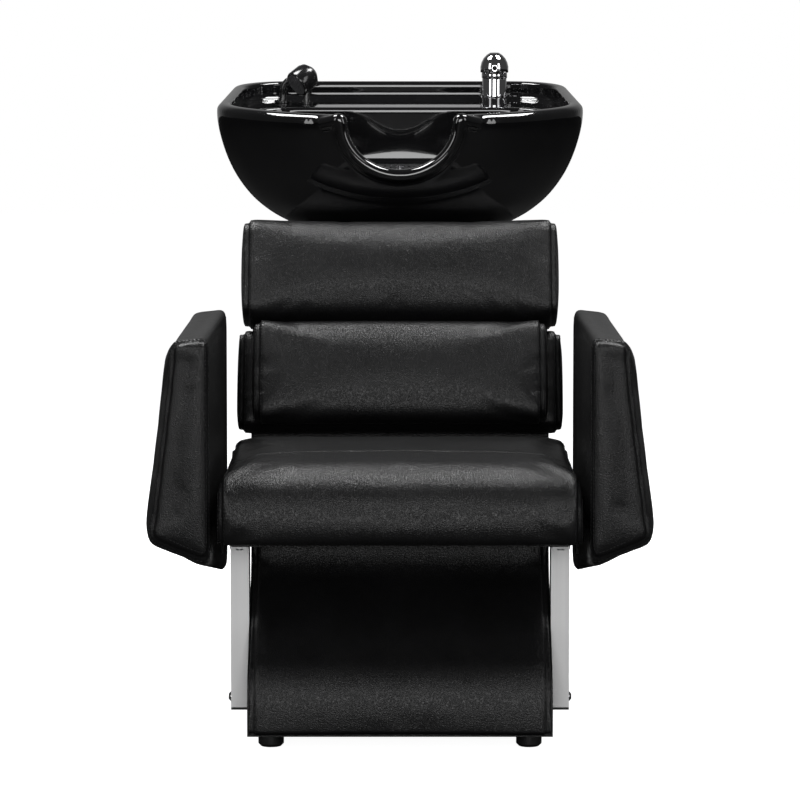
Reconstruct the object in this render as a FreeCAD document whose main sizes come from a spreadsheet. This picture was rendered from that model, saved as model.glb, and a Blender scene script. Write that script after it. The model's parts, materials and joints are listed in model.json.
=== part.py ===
"""Salon backwash unit: an upholstered chair and base with a tilting wash bowl, mixer tap and hand spray.

The frame's origin is on the floor under the middle of the unit, +Z up, with the sitter facing -Y.
"""
import FreeCAD, Part
import math
import os
import re
import Sketcher
from FreeCAD import Placement, Rotation, Vector

# Driving sizes: lengths in millimetres, angles in degrees, counts and shares as plain numbers
SIZES = {
    # Overall layout and fits
    "overall_depth": 1120,
    "overrun": 2,
    "running_fit": 0.05,
    "hole_fit": 0.1,
    "soft_gap": 0.4,
    "match_gap": 0.01,
    # Base and column
    "seat_overhang": 40,
    "side_thickness": 20,
    "board_thickness": 18,
    "base_top_height": 283,
    "toe_setback": 50,
    "toe_height": 100,
    "toe_radius": 90,
    "waist_setback": 215,
    "waist_height": 245,
    "waist_radius": 70,
    "cover_thickness": 14,
    "column_setback": 460,
    "column_top_height": 640,
    "column_back_inset": 70,
    "rear_panel_thickness": 12,
    "rear_panel_gap": 1.5,
    "pipe_notch_width": 140,
    "pipe_notch_height": 70,
    "pipe_way_width": 200,
    "pipe_way_length": 268,
    "pipe_way_back_margin": 12,
    # Feet
    "foot_height": 25,
    "foot_radius": 18,
    "foot_round": 4,
    "foot_inset": 31,
    "foot_front_inset": 80,
    "foot_back_inset": 60,
    "foot_recess_radius": 7,
    "foot_recess_depth": 14,
    # Side legs
    "leg_width": 26,
    "leg_depth": 50,
    "leg_wall": 2,
    "leg_bottom": 50,
    "leg_setback": 150,
    "leg_plate_thickness": 4,
    "leg_plate_length": 96,
    "leg_cap_thickness": 3,
    "leg_cap_plug": 6,
    "leg_bolt_rise": 12,
    "leg_bolt_radius": 4,
    "leg_bolt_head_radius": 7,
    "leg_bolt_head_height": 4.4,
    "leg_nut_height": 6.5,
    # Wood screws, one kind for boards, plates and feet
    "screw_radius": 2.5,
    "screw_length": 18,
    "screw_head_radius": 5,
    "screw_head_height": 3,
    # Seat
    "seat_width": 504,
    "seat_length": 448,
    "seat_cushion_thickness": 102,
    "seat_crown": 7,
    "seat_edge_radius": 30,
    "seat_draw": 12,
    "seat_board_side_inset": 17,
    "seat_board_thickness": 15,
    "seat_board_front_inset": 120,
    # Backrest, measured up the slope from the back edge of the base's top
    "back_recline": 24,
    "back_board_thickness": 15,
    "back_board_overhang": 10,
    "back_board_start": 24,
    "back_board_end": 446,
    "back_start": 116,
    "back_split": 278,
    "back_end": 440,
    "cushion_gap": 1.2,
    "upper_back_width": 472,
    "upper_back_thickness": 88,
    "upper_back_crown": 7,
    "upper_back_radius": 22,
    "lower_back_width": 484,
    "lower_back_thickness": 45,
    "lower_back_crown": 2,
    "lower_back_radius": 14,
    "lumbar_width": 436,
    "lumbar_thickness": 46,
    "lumbar_crown": 6,
    "lumbar_radius": 18,
    "back_draw": 6,
    # Arms
    "arm_gap": 9,
    "arm_front_inset": 10,
    "arm_length": 550,
    "arm_top_height": 585,
    "arm_front_bottom": 284,
    "arm_back_bottom": 198,
    "arm_top_width": 52,
    "arm_flare_share": 0.119,
    "arm_corner_radius": 16,
    "arm_edge": 5,
    "arm_board_thickness": 24,
    "arm_board_inset": 14,
    "arm_bracket_thickness": 5,
    "arm_bracket_length": 120,
    "arm_bracket_drop": 42,
    "arm_bracket_back_inset": 100,
    "panel_bolt_radius": 3,
    "panel_bolt_length": 26,
    "panel_bolt_head_radius": 6,
    "panel_bolt_head_height": 3.5,
    # Bowl, measured from its tilt axis
    "axis_height": 668,
    "axis_back_inset": 252,
    "bowl_tilt": 5.4,
    "rim_height": 223.5,
    "bowl_height": 195,
    "bowl_half_width": 286,
    "bowl_front": 230,
    "bowl_back": 272,
    "bowl_nose": 105,
    "bowl_front_corner": 36,
    "bowl_front_corner_run": 85,
    "bowl_back_corner": 85,
    "rim_width": 22,
    "bowl_wall": 14,
    "deck_depth": 28,
    "deck_thickness": 20,
    "deck_front": 125,
    "basin_depth": 117,
    "basin_half_width": 256,
    "basin_front": 206,
    "notch_radius": 84,
    "notch_rise": 2,
    "lip_radius": 11,
    # Drain and strainer
    "drain_back": 60,
    "sump_width": 144,
    "sump_length": 88,
    "sump_depth": 26,
    "strainer_width": 160,
    "strainer_length": 104,
    "strainer_thickness": 2.5,
    "strainer_seat": 3,
    "strainer_play": 0.5,
    "slot_width": 3,
    "slot_count": 14,
    "slot_row_count": 3,
    "strainer_knob_radius": 7,
    "strainer_knob_height": 6,
    "drain_radius": 24,
    "drain_bore": 16,
    "drain_spigot_radius": 20,
    "drain_spigot": 44,
    "drain_hole_radius": 26,
    "drain_flange_radius": 36,
    "drain_flange_height": 3,
    "drain_tail": 62,
    "drain_nut_radius": 38,
    "drain_nut_height": 11,
    "drain_washer_height": 3,
    "drain_nut_room": 6,
    # Tilt hardware
    "bracket_inset": 72,
    "bracket_plate": 5,
    "bracket_ear_half": 22,
    "bracket_flange_width": 48,
    "bracket_flange_length": 110,
    "bracket_pad": 2.5,
    "bowl_bolt_radius": 4,
    "bowl_bolt_depth": 22,
    "bowl_bolt_head_radius": 7,
    "bowl_bolt_head_height": 5,
    "bowl_bolt_spread": 40,
    "tilt_washer": 1.5,
    "tilt_washer_radius": 14,
    "pivot_radius": 6,
    "pivot_head_radius": 11,
    "pivot_head_height": 5,
    "pivot_nut_height": 9,
    "pivot_nut_radius": 10.5,
    # Tap
    "tap_x": 153,
    "tap_back": 180,
    "tap_foot_radius": 20.5,
    "tap_foot_height": 10,
    "tap_flange_radius": 21.5,
    "tap_flange_height": 6,
    "tap_body_radius": 19.6,
    "tap_body_top": 42,
    "tap_shank_radius": 16.5,
    "tap_shank_length": 46,
    "tap_hole_radius": 17.5,
    "tap_nut_radius": 25,
    "tap_nut_height": 10,
    "tap_inlet_radius": 4.5,
    "tap_inlet_depth": 18,
    "tap_inlet_offset": 8,
    "cartridge_radius": 15.5,
    "cartridge_bottom": 12,
    "cartridge_top": 32,
    "bonnet_radius": 20.6,
    "bonnet_height": 8,
    "bonnet_bore": 14,
    "stem_disc_radius": 11,
    "stem_disc_height": 4,
    "stem_gap": 0.3,
    "stem_tongue_width": 7,
    "stem_tongue_depth": 9,
    "stem_tongue_above_pivot": 5,
    "lever_pivot_height": 44,
    "lever_pin_radius": 2,
    "handle_radius": 22.6,
    "handle_bottom": 51.5,
    "handle_height": 31,
    "handle_wall": 1.6,
    "handle_roof": 8,
    "handle_cheek": 4.2,
    "handle_cheek_half": 5,
    "lever_length": 62,
    "lever_width": 13,
    "lever_thickness": 6,
    "index_radius": 3.7,
    "index_height": 4,
    # Spray, its rest and its guide
    "spray_rest_x": 152,
    "spray_rest_back": 180,
    "rest_flange_radius": 10,
    "rest_flange_height": 3,
    "rest_stem_radius": 5.5,
    "guide_x": 190.6,
    "guide_back": 197,
    "guide_flange_radius": 14,
    "guide_flange_height": 3.5,
    "guide_tube_radius": 5.5,
    "guide_bore": 4,
    "guide_rise": 18,
    "guide_bend": 22,
    "guide_turn": 55,
    "deck_stud_radius": 7,
    "deck_stud_length": 36,
    "deck_nut_radius": 12,
    "deck_nut_height": 8,
    "spray_radius": 21.5,
    "spray_length": 38,
    "spray_lift": 44,
    "spray_carry": 24,
    "spray_pan": 37.6,
    "spray_pitch": 29.8,
    "spray_face_radius": 18.5,
    "spray_face_height": 2,
    "spray_nozzle_radius": 1,
    "spray_nozzle_count": 12,
    "spray_inlet_radius": 6.5,
    "spray_inlet_depth": 14,
    "spray_tail_radius": 11,
}

# Bowl sections from rim to bottom: shares of depth, half width, front reach and back reach
HULL_SHARES = [
    (0.0, 0.974, 0.966, 0.972),
    (0.041, 1.0, 1.0, 1.0),
    (0.25, 0.984, 0.993, 0.993),
    (0.51, 0.92, 0.957, 0.97),
    (0.72, 0.824, 0.88, 0.925),
    (0.87, 0.71, 0.76, 0.868),
    (1.0, 0.56, 0.59, 0.79),
]
# Basin sections from the deck down to its floor: shares of depth, half width, front reach and back reach
BASIN_SHARES = [
    (0.0, 1.0, 1.0, 1.0),
    (0.6, 0.93, 0.965, 0.985),
    (0.88, 0.82, 0.89, 0.97),
    (1.0, 0.69, 0.79, 0.95),
]
# Handle dome: shares of its height and of its radius
DOME_SHARES = [(0.0, 1.0), (0.28, 1.0), (0.5, 0.93), (0.72, 0.78), (0.9, 0.55), (1.0, 0.33)]
# Shares of the pieces that carry them
FLANGE_HOLE_SHARE = 0.65
BACK_WIDTH_SHARE = 0.955
LIP_PLACE_SHARE = 0.955
LIP_SINK_SHARE = 0.55
NOTCH_REACH_SHARE = 0.7
SIDE_BELLY_SHARE = 0.5
TOP_DRAW_SHARE = 0.3
CROWN_END_SHARE = 0.02
HEAD_CROWN_SHARE = 0.55
HEAD_EDGE_SHARE = 0.35
BACK_BOLT_SHARES = (0.3, 0.75)
SPRAY_BODY_SHARES = ((0.93, 0.0), (1.0, 0.08), (1.0, 0.64), (0.9, 0.82))
DOME_INNER_SHARE = 0.45
# Cushion stations across the width: share of the half width, then share of the edge draw
STATION_SHARES = [(-1.0, 1.0), (-0.95, 0.0), (-0.5, 0.0), (0.0, 0.0), (0.5, 0.0), (0.95, 0.0), (1.0, 1.0)]

doc = FreeCAD.newDocument("BackwashUnit")
sheet = doc.addObject("Spreadsheet::Sheet", "Sizes")
for row, (alias, value) in enumerate(SIZES.items(), start=1):
    sheet.set(f"A{row}", alias)
    sheet.set(f"B{row}", str(value))
    sheet.setAlias(f"B{row}", alias)
derived = doc.addObject("App::VarSet", "Derived")
doc.recompute()
DERIVED = []
SUB_PARTS = []


def bound(formula):
    """Return a formula with each named size written as a reference to its cell."""

    def reference(match):
        word = match.group(0)
        if word in SIZES:
            return "Sizes." + word
        return "Derived." + word if word in DERIVED else word

    return re.sub(r"[a-z][a-z0-9_]*", reference, formula)


def derive(name, formula):
    """Add a value that follows from the driving sizes."""
    derived.addProperty("App::PropertyFloat", name)
    derived.setExpression(name, bound(formula))
    DERIVED.append(name)
    doc.recompute()


def num(name):
    """Return the number held by a named size or derived value."""
    return float(getattr(sheet if name in SIZES else derived, name))


def place(item, corner):
    """Bind an object's position to three formulas."""
    for axis, formula in zip("xyz", corner):
        item.setExpression(f"Placement.Base.{axis}", bound(formula))
    return item


def box(name, size, corner):
    """Make a box from three size formulas at a corner given by three formulas."""
    item = doc.addObject("Part::Box", name)
    for side, formula in zip(("Length", "Width", "Height"), size):
        item.setExpression(side, bound(formula))
    return place(item, corner)


TURNS = {"z": Rotation(), "x": Rotation(Vector(0, 1, 0), 90), "y": Rotation(Vector(1, 0, 0), -90)}


def cylinder(name, radius, height, foot, axis="z"):
    """Make a cylinder along an axis from the middle of its foot."""
    item = doc.addObject("Part::Cylinder", name)
    item.Placement = Placement(Vector(), TURNS[axis])
    item.setExpression("Radius", bound(radius))
    item.setExpression("Height", bound(height))
    return place(item, foot)


def fuse(name, *items):
    """Join objects into one solid."""
    item = doc.addObject("Part::MultiFuse", name)
    item.Shapes = list(items)
    item.Refine = True
    return item


def cut(name, base, *tools):
    """Cut objects away from a base object."""
    item = doc.addObject("Part::Cut", name)
    item.Base = base
    item.Tool = tools[0] if len(tools) == 1 else fuse(name + "Tools", *tools)
    return item


def mirrored(name, source):
    """Mirror an object to the other side of the unit."""
    item = doc.addObject("Part::Mirroring", name)
    item.Source = source
    item.Normal = Vector(1, 0, 0)
    return item


def polygon_sketch(body, role, corners):
    """Draw a closed polygon on one of a body's planes with every corner bound to two formulas."""
    sketch = body.newObject("Sketcher::SketchObject", body.Name + "Profile")
    plane = next(item for item in body.Origin.OriginFeatures if item.Role == role)
    sketch.AttachmentSupport = [(plane, "")]
    sketch.MapMode = "FlatFace"
    reader = doc.addObject("App::VarSet", body.Name + "Corners")
    for index, pair in enumerate(corners):
        for letter, formula in zip("uv", pair):
            reader.addProperty("App::PropertyFloat", f"{letter}{index}c")
            reader.setExpression(f"{letter}{index}c", bound(formula))
    doc.recompute()
    count = len(corners)
    points = [Vector(getattr(reader, f"u{i}c"), getattr(reader, f"v{i}c"), 0) for i in range(count)]
    for index in range(count):
        sketch.addGeometry(Part.LineSegment(points[index], points[(index + 1) % count]), False)
    for index in range(count):
        sketch.addConstraint(Sketcher.Constraint("Coincident", index, 2, (index + 1) % count, 1))
    for index, (u_formula, v_formula) in enumerate(corners):
        across = sketch.addConstraint(Sketcher.Constraint("DistanceX", -1, 1, index, 1, points[index].x))
        sketch.setExpression(f"Constraints[{across}]", bound(u_formula))
        upward = sketch.addConstraint(Sketcher.Constraint("DistanceY", -1, 1, index, 1, points[index].y))
        sketch.setExpression(f"Constraints[{upward}]", bound(v_formula))
    return sketch


def padded_body(name, role, corners, length):
    """Make a body from a polygon on one plane, padded both ways by half a length."""
    body = doc.addObject("PartDesign::Body", name)
    pad = body.newObject("PartDesign::Pad", name + "Pad")
    pad.Profile = polygon_sketch(body, role, corners)
    pad.Midplane = True
    pad.setExpression("Length", bound(length))
    doc.recompute()
    return body


def turned_body(name, corners):
    """Make a body turned about its own Z axis from a polygon of radius and height formulas."""
    body = doc.addObject("PartDesign::Body", name)
    turn = body.newObject("PartDesign::Revolution", name + "Turn")
    sketch = polygon_sketch(body, "XZ_Plane", corners)
    turn.Profile = sketch
    turn.ReferenceAxis = (sketch, ["V_Axis"])
    turn.Angle = 360
    doc.recompute()
    return body


def round_edges(body, places, radius):
    """Round the edges of a body that run along X through the given Y and Z places."""
    tip = body.Tip
    names = []
    for index, edge in enumerate(tip.Shape.Edges, start=1):
        ends = [vertex.Point for vertex in edge.Vertexes]
        for y, z in places:
            if all(math.hypot(end.y - y, end.z - z) < num("match_gap") for end in ends):
                names.append(f"Edge{index}")
    fillet = body.newObject("PartDesign::Fillet", f"{body.Name}Round{len(body.Group)}")
    fillet.Base = (tip, names)
    fillet.setExpression("Radius", bound(radius))
    doc.recompute()


def shaped(name, shape):
    """Hold a lofted, swept or repeated shape as a document object."""
    item = doc.addObject("Part::Feature", name)
    item.Shape = shape
    return item


def keep(label, item, placement=None):
    """Give a finished object its label and place, and list it as a sub-part."""
    item.Label = label
    if placement is not None:
        item.Placement = placement
    SUB_PARTS.append(item)
    return item


def copies(label, master, placements):
    """List copies of one fastener as a sub-part of separate solids."""
    doc.recompute()
    solids = []
    for placement in placements:
        solid = master.Shape.copy()
        solid.Placement = placement.multiply(solid.Placement)
        solids.append(solid)
    return keep(label, shaped(label.title().replace("_", ""), Part.makeCompound(solids)))


def arc(start, middle, end):
    """Return an arc edge through three points."""
    return Part.Arc(start, middle, end).toShape()


def line(start, end):
    """Return a straight edge."""
    return Part.LineSegment(start, end).toShape()


# Places that follow from the driving sizes
derive("front_y", "-overall_depth / 2")
derive("half_base", "seat_width / 2 - seat_overhang")
derive("back_board_width", "2 * half_base + 2 * back_board_overhang")
derive("seat_board_width", "seat_width - 2 * seat_board_side_inset")
derive("side_inner", "half_base - side_thickness")
derive("toe_y", "front_y + toe_setback")
derive("waist_y", "front_y + waist_setback")
derive("slope_run", "waist_y - toe_y")
derive("slope_rise", "waist_height - toe_height")
derive("half_turn", "(sqrt(slope_run * slope_run + slope_rise * slope_rise) - slope_rise) / slope_run")
derive("cover_drop", "cover_thickness * half_turn")
derive("column_y", "front_y + column_setback")
derive("column_top_y", "column_y + (column_top_height - base_top_height) * tan(back_recline)")
derive("axis_y", "overall_depth / 2 - axis_back_inset")
derive("column_back_y", "overall_depth / 2 - column_back_inset")
derive("rear_panel_y", "column_back_y - rear_panel_thickness")
derive("top_board_bottom", "column_top_height - board_thickness")
derive("seat_bottom", "base_top_height + seat_board_thickness")
derive("leg_x", "half_base + leg_width / 2")
derive("leg_y", "front_y + leg_setback + leg_depth / 2")
derive("leg_top", "base_top_height - leg_plate_thickness")
derive("leg_bolt_z", "leg_bottom + leg_bolt_rise")
derive("arm_inner", "seat_width / 2 + arm_gap")
derive("arm_y", "front_y + arm_front_inset")
derive("arm_back_y", "arm_y + arm_length")
derive("bracket_back_y", "arm_back_y - arm_bracket_back_inset")
derive("bracket_front_y", "bracket_back_y - arm_bracket_length")
derive("deck_level", "rim_height - deck_depth")
derive("floor_level", "rim_height - basin_depth")
derive("bowl_bottom", "rim_height - bowl_height")
derive("bracket_x", "side_inner - bracket_inset")
derive("sump_level", "floor_level - sump_depth")

back_place = Placement(
    Vector(0, num("column_y"), num("base_top_height")), Rotation(Vector(1, 0, 0), -num("back_recline"))
)
bowl_place = Placement(
    Vector(0, num("axis_y"), num("axis_height")), Rotation(Vector(1, 0, 0), num("bowl_tilt"))
)


def on_bowl(x, y, z, turn=None):
    """Return a place given in the bowl's own frame."""
    return bowl_place.multiply(Placement(Vector(x, y, z), turn or Rotation()))


# Fastener masters: a wood screw, an arm and back bolt, each pointing up with its head's seat at zero
screw_master = turned_body("ScrewMaster", [
    ("0", "-screw_head_height"), ("screw_head_radius", "-screw_head_height"), ("screw_head_radius", "0"),
    ("screw_radius", "0"), ("screw_radius", "screw_length"), ("0", "screw_length"),
])
panel_bolt_master = turned_body("PanelBoltMaster", [
    ("0", "-panel_bolt_head_height"), ("panel_bolt_head_radius", "-panel_bolt_head_height"),
    ("panel_bolt_head_radius", "0"), ("panel_bolt_radius", "0"), ("panel_bolt_radius", "panel_bolt_length"),
    ("0", "panel_bolt_length"),
])


def screw_holes(name, places):
    """Return one object holding the holes for wood screws at the given places."""
    holes = []
    for placement in places:
        hole = Part.makeCylinder(
            num("screw_radius") + num("hole_fit"), num("screw_length") + num("hole_fit")
        )
        hole.Placement = placement
        holes.append(hole)
    return shaped(name, Part.makeCompound(holes))


def bolt_holes(name, places):
    """Return one object holding the holes for panel bolts at the given places."""
    holes = []
    for placement in places:
        hole = Part.makeCylinder(
            num("panel_bolt_radius") + num("hole_fit"), num("panel_bolt_length") + num("hole_fit")
        )
        hole.Placement = placement
        holes.append(hole)
    return shaped(name, Part.makeCompound(holes))


# Screw and bolt places
UP = Rotation()
FORWARD = Rotation(Vector(1, 0, 0), 90)
DOWN = Rotation(Vector(1, 0, 0), 180)
foot_x = num("half_base") - num("foot_inset")
foot_front_y = num("toe_y") + num("foot_front_inset")
foot_back_y = num("column_back_y") - num("foot_back_inset")
feet = [(side * foot_x, y) for side in (-1, 1) for y in (foot_front_y, foot_back_y)]
foot_screws = [Placement(Vector(x, y, num("foot_recess_depth")), UP) for x, y in feet]
leg_screw_reach = (num("leg_plate_length") + num("leg_depth")) / 4
leg_screws = [
    Placement(Vector(side * num("leg_x"), num("leg_y") + end * leg_screw_reach, num("leg_top")), UP)
    for side in (-1, 1) for end in (-1, 1)
]
bracket_screw_x = (num("half_base") + num("seat_board_width") / 2) / 2
arm_flange_bottom = num("base_top_height") - num("arm_bracket_thickness")
arm_quarter = num("arm_bracket_length") / 4
arm_screws = [
    Placement(
        Vector(side * bracket_screw_x, num("bracket_front_y") + step * arm_quarter, arm_flange_bottom), UP)
    for side in (-1, 1) for step in (1, 3)
]
panel_screw_x = num("side_inner") - num("board_thickness")
panel_screw_heights = (
    num("foot_height") + num("board_thickness") / 2, num("column_top_height") - num("board_thickness") / 2
)
panel_screws = [
    Placement(Vector(side * panel_screw_x, num("column_back_y"), z), FORWARD)
    for side in (-1, 1) for z in panel_screw_heights
]
bracket_outer_x = num("bracket_x") + num("bracket_plate") / 2 + num("tilt_washer")
column_flange_x = bracket_outer_x + num("bracket_flange_width") * FLANGE_HOLE_SHARE
column_screw_reach = num("bracket_flange_length") / 2 - num("screw_head_radius") * 2
column_screws = [
    Placement(
        Vector(side * column_flange_x, num("axis_y") + end * column_screw_reach,
               num("column_top_height") + num("bracket_plate")), DOWN)
    for side in (-1, 1) for end in (-1, 1)
]
back_bolt_x = num("half_base") - num("side_thickness") / 2
back_bolts = [
    back_place.multiply(Placement(
        Vector(side * back_bolt_x, -num("back_board_thickness"), num("back_start") * share),
        Rotation(Vector(1, 0, 0), -90)))
    for side in (-1, 1) for share in BACK_BOLT_SHARES
]
arm_bolt_z = num("base_top_height") - (num("arm_bracket_thickness") + num("arm_bracket_drop")) / 2
arm_bolts = [
    Placement(
        Vector(side * (num("arm_inner") - num("arm_bracket_thickness")),
               num("bracket_front_y") + step * arm_quarter, arm_bolt_z),
        Rotation(Vector(0, 1, 0), side * 90))
    for side in (-1, 1) for step in (1, 3)
]


# Base and column
def base_sides():
    """Make the two profiled side panels of the base and column."""
    corners = [
        ("toe_y + cover_thickness", "foot_height"), ("column_back_y", "foot_height"),
        ("column_back_y", "column_top_height"), ("column_top_y", "column_top_height"),
        ("column_y", "base_top_height"), ("waist_y + cover_thickness", "base_top_height"),
        ("waist_y + cover_thickness", "waist_height - cover_drop"),
        ("toe_y + cover_thickness", "toe_height - cover_drop"),
    ]
    panel = padded_body("SidePanel", "YZ_Plane", corners, "side_thickness")
    toe = (num("toe_y") + num("cover_thickness"), num("toe_height") - num("cover_drop"))
    waist = (num("waist_y") + num("cover_thickness"), num("waist_height") - num("cover_drop"))
    round_edges(panel, [toe], "toe_radius - cover_thickness")
    round_edges(panel, [waist], "waist_radius + cover_thickness")
    place(panel, ("half_base - side_thickness / 2", "0", "0"))
    leg_hole = cylinder(
        "LegHole", "leg_bolt_radius + hole_fit", "side_thickness + 2 * overrun",
        ("side_inner - overrun", "leg_y", "leg_bolt_z"), "x")
    right = cut("BaseSideRight", panel, leg_hole, bolt_holes("BackBoltHoles", back_bolts))
    keep("base_side_right", right)
    keep("base_side_left", mirrored("BaseSideLeft", right))


def front_cover():
    """Make the padded cover that wraps the toe and the slope of the base."""
    cover = padded_body("FrontCover", "YZ_Plane", [
        ("toe_y", "foot_height"), ("toe_y", "toe_height"), ("waist_y", "waist_height"),
        ("waist_y", "base_top_height"), ("waist_y + cover_thickness", "base_top_height"),
        ("waist_y + cover_thickness", "waist_height - cover_drop"),
        ("toe_y + cover_thickness", "toe_height - cover_drop"), ("toe_y + cover_thickness", "foot_height"),
    ], "2 * half_base")
    inner_toe = (num("toe_y") + num("cover_thickness"), num("toe_height") - num("cover_drop"))
    inner_waist = (num("waist_y") + num("cover_thickness"), num("waist_height") - num("cover_drop"))
    round_edges(cover, [(num("toe_y"), num("toe_height"))], "toe_radius")
    round_edges(cover, [inner_toe], "toe_radius - cover_thickness")
    round_edges(cover, [(num("waist_y"), num("waist_height"))], "waist_radius")
    round_edges(cover, [inner_waist], "waist_radius + cover_thickness")
    keep("base_front_cover", cover)


def pipe_way(name, bottom):
    """Return the box that is cut through a board for the water and waste pipes."""
    return box(
        name, ("pipe_way_width", "pipe_way_length", "board_thickness + 2 * overrun"),
        ("-pipe_way_width / 2", "rear_panel_y - pipe_way_back_margin - pipe_way_length",
         bottom + " - overrun"))


def boards():
    """Make the bottom board, the column's top board, the rear panel, the seat board and the back board."""
    bottom = box(
        "BottomPlate", ("2 * side_inner", "rear_panel_y - toe_y - cover_thickness", "board_thickness"),
        ("-side_inner", "toe_y + cover_thickness", "foot_height"))
    keep("base_bottom_board", cut(
        "BottomBoard", bottom, pipe_way("BottomWay", "foot_height"),
        screw_holes("FootHoles", foot_screws), screw_holes("LowPanelHoles", panel_screws)))
    top = box(
        "TopPlate", ("2 * side_inner", "rear_panel_y - column_top_y", "board_thickness"),
        ("-side_inner", "column_top_y", "top_board_bottom"))
    keep("column_top_board", cut(
        "ColumnTopBoard", top, pipe_way("TopWay", "top_board_bottom"),
        screw_holes("ColumnHoles", column_screws), screw_holes("HighPanelHoles", panel_screws)))
    panel = box(
        "RearPlate", ("2 * (side_inner - rear_panel_gap)", "rear_panel_thickness",
                      "column_top_height - foot_height - 2 * rear_panel_gap"),
        ("rear_panel_gap - side_inner", "rear_panel_y", "foot_height + rear_panel_gap"))
    notch = box(
        "PipeNotch", ("pipe_notch_width", "rear_panel_thickness + 2 * overrun",
                      "pipe_notch_height + board_thickness"),
        ("-pipe_notch_width / 2", "rear_panel_y - overrun", "foot_height"))
    keep("rear_access_panel", cut("RearAccessPanel", panel, notch, screw_holes("PanelHoles", panel_screws)))
    seat = box(
        "SeatPlate", ("seat_board_width", "seat_length - seat_board_front_inset", "seat_board_thickness"),
        ("-seat_board_width / 2", "front_y + seat_board_front_inset", "base_top_height"))
    keep("seat_board", cut("SeatBoard", seat, screw_holes("SeatHoles", leg_screws + arm_screws)))
    back = shaped("BackPlate", Part.makeBox(
        num("back_board_width"), num("back_board_thickness"), num("back_board_end") - num("back_board_start"),
        Vector(-num("back_board_width") / 2, -num("back_board_thickness"), num("back_board_start"))))
    back.Placement = back_place
    keep("back_board", cut("BackBoard", back, bolt_holes("BoardBoltHoles", back_bolts)))


def feet_and_screws():
    """Make the four feet and the wood screws of the whole unit."""
    for (x, y), name in zip(feet, ("front_left", "back_left", "front_right", "back_right")):
        foot = turned_body("Foot" + name.title().replace("_", ""), [
            ("foot_recess_radius", "0"), ("foot_radius - foot_round", "0"), ("foot_radius", "foot_round"),
            ("foot_radius", "foot_height"), ("screw_radius + hole_fit", "foot_height"),
            ("screw_radius + hole_fit", "foot_recess_depth"), ("foot_recess_radius", "foot_recess_depth"),
        ])
        keep("foot_" + name, foot, Placement(Vector(x, y, 0), UP))
    copies("wood_screws", screw_master, foot_screws + leg_screws + arm_screws + panel_screws + column_screws)


def hex_nut(name, radius, bore, height):
    """Return a six-sided nut standing on zero."""
    prism = doc.addObject("Part::Prism", name + "Prism")
    prism.Polygon = 6
    prism.setExpression("Circumradius", bound(radius))
    prism.setExpression("Height", bound(height))
    hole = cylinder(name + "Bore", bore, height + " + 2 * overrun", ("0", "0", "-overrun"))
    return cut(name, prism, hole)


def side_legs():
    """Make the flat-tube side legs with their top plates, end caps, bolts and nuts."""
    tube = box(
        "LegTube", ("leg_width", "leg_depth", "leg_top - leg_bottom"),
        ("half_base", "leg_y - leg_depth / 2", "leg_bottom"))
    inside = box(
        "LegInside", ("leg_width - 2 * leg_wall", "leg_depth - 2 * leg_wall",
        "leg_top - leg_bottom + overrun"),
        ("half_base + leg_wall", "leg_y - leg_depth / 2 + leg_wall", "leg_bottom - overrun"))
    plate = box(
        "LegPlate", ("leg_width", "leg_plate_length", "leg_plate_thickness"),
        ("half_base", "leg_y - leg_plate_length / 2", "leg_top"))
    bolt_hole = cylinder(
        "LegBoltHole", "leg_bolt_radius + hole_fit", "leg_width + 2 * overrun",
        ("half_base - overrun", "leg_y", "leg_bolt_z"), "x")
    leg = cut("LegRight", fuse("LegSolid", cut("LegHollow", tube, inside), plate), bolt_hole,
              screw_holes("LegHoles", leg_screws))
    keep("side_leg_right", leg)
    keep("side_leg_left", mirrored("LegLeft", leg))
    flange = box(
        "CapFlange", ("leg_width", "leg_depth", "leg_cap_thickness"),
        ("half_base", "leg_y - leg_depth / 2", "leg_bottom - leg_cap_thickness"))
    plug = box(
        "CapPlug", ("leg_width - 2 * (leg_wall + hole_fit)", "leg_depth - 2 * (leg_wall + hole_fit)",
                    "leg_cap_plug"),
        ("half_base + leg_wall + hole_fit", "leg_y - leg_depth / 2 + leg_wall + hole_fit", "leg_bottom"))
    cap = fuse("CapRight", flange, plug)
    keep("leg_end_cap_right", cap)
    keep("leg_end_cap_left", mirrored("CapLeft", cap))
    bolt = turned_body("LegBoltMaster", [
        ("0", "-leg_bolt_head_height"),
        (f"leg_bolt_head_radius * {HEAD_CROWN_SHARE}", "-leg_bolt_head_height"),
        ("leg_bolt_head_radius", f"-leg_bolt_head_height * {HEAD_EDGE_SHARE}"), ("leg_bolt_head_radius", "0"),
        ("leg_bolt_radius", "0"), ("leg_bolt_radius", "leg_width + side_thickness + leg_nut_height"),
        ("0", "leg_width + side_thickness + leg_nut_height"),
    ])
    nut = hex_nut("LegNutMaster", "2 * leg_bolt_radius", "leg_bolt_radius + hole_fit", "leg_nut_height")
    outer = num("half_base") + num("leg_width")
    sides = [(side, Rotation(Vector(0, 1, 0), -90 * side)) for side in (-1, 1)]
    copies("leg_bolts", bolt, [
        Placement(Vector(side * outer, num("leg_y"), num("leg_bolt_z")), turn) for side, turn in sides])
    copies("leg_nuts", nut, [
        Placement(Vector(side * num("side_inner"), num("leg_y"), num("leg_bolt_z")), turn) for side,
        turn in sides])


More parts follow.
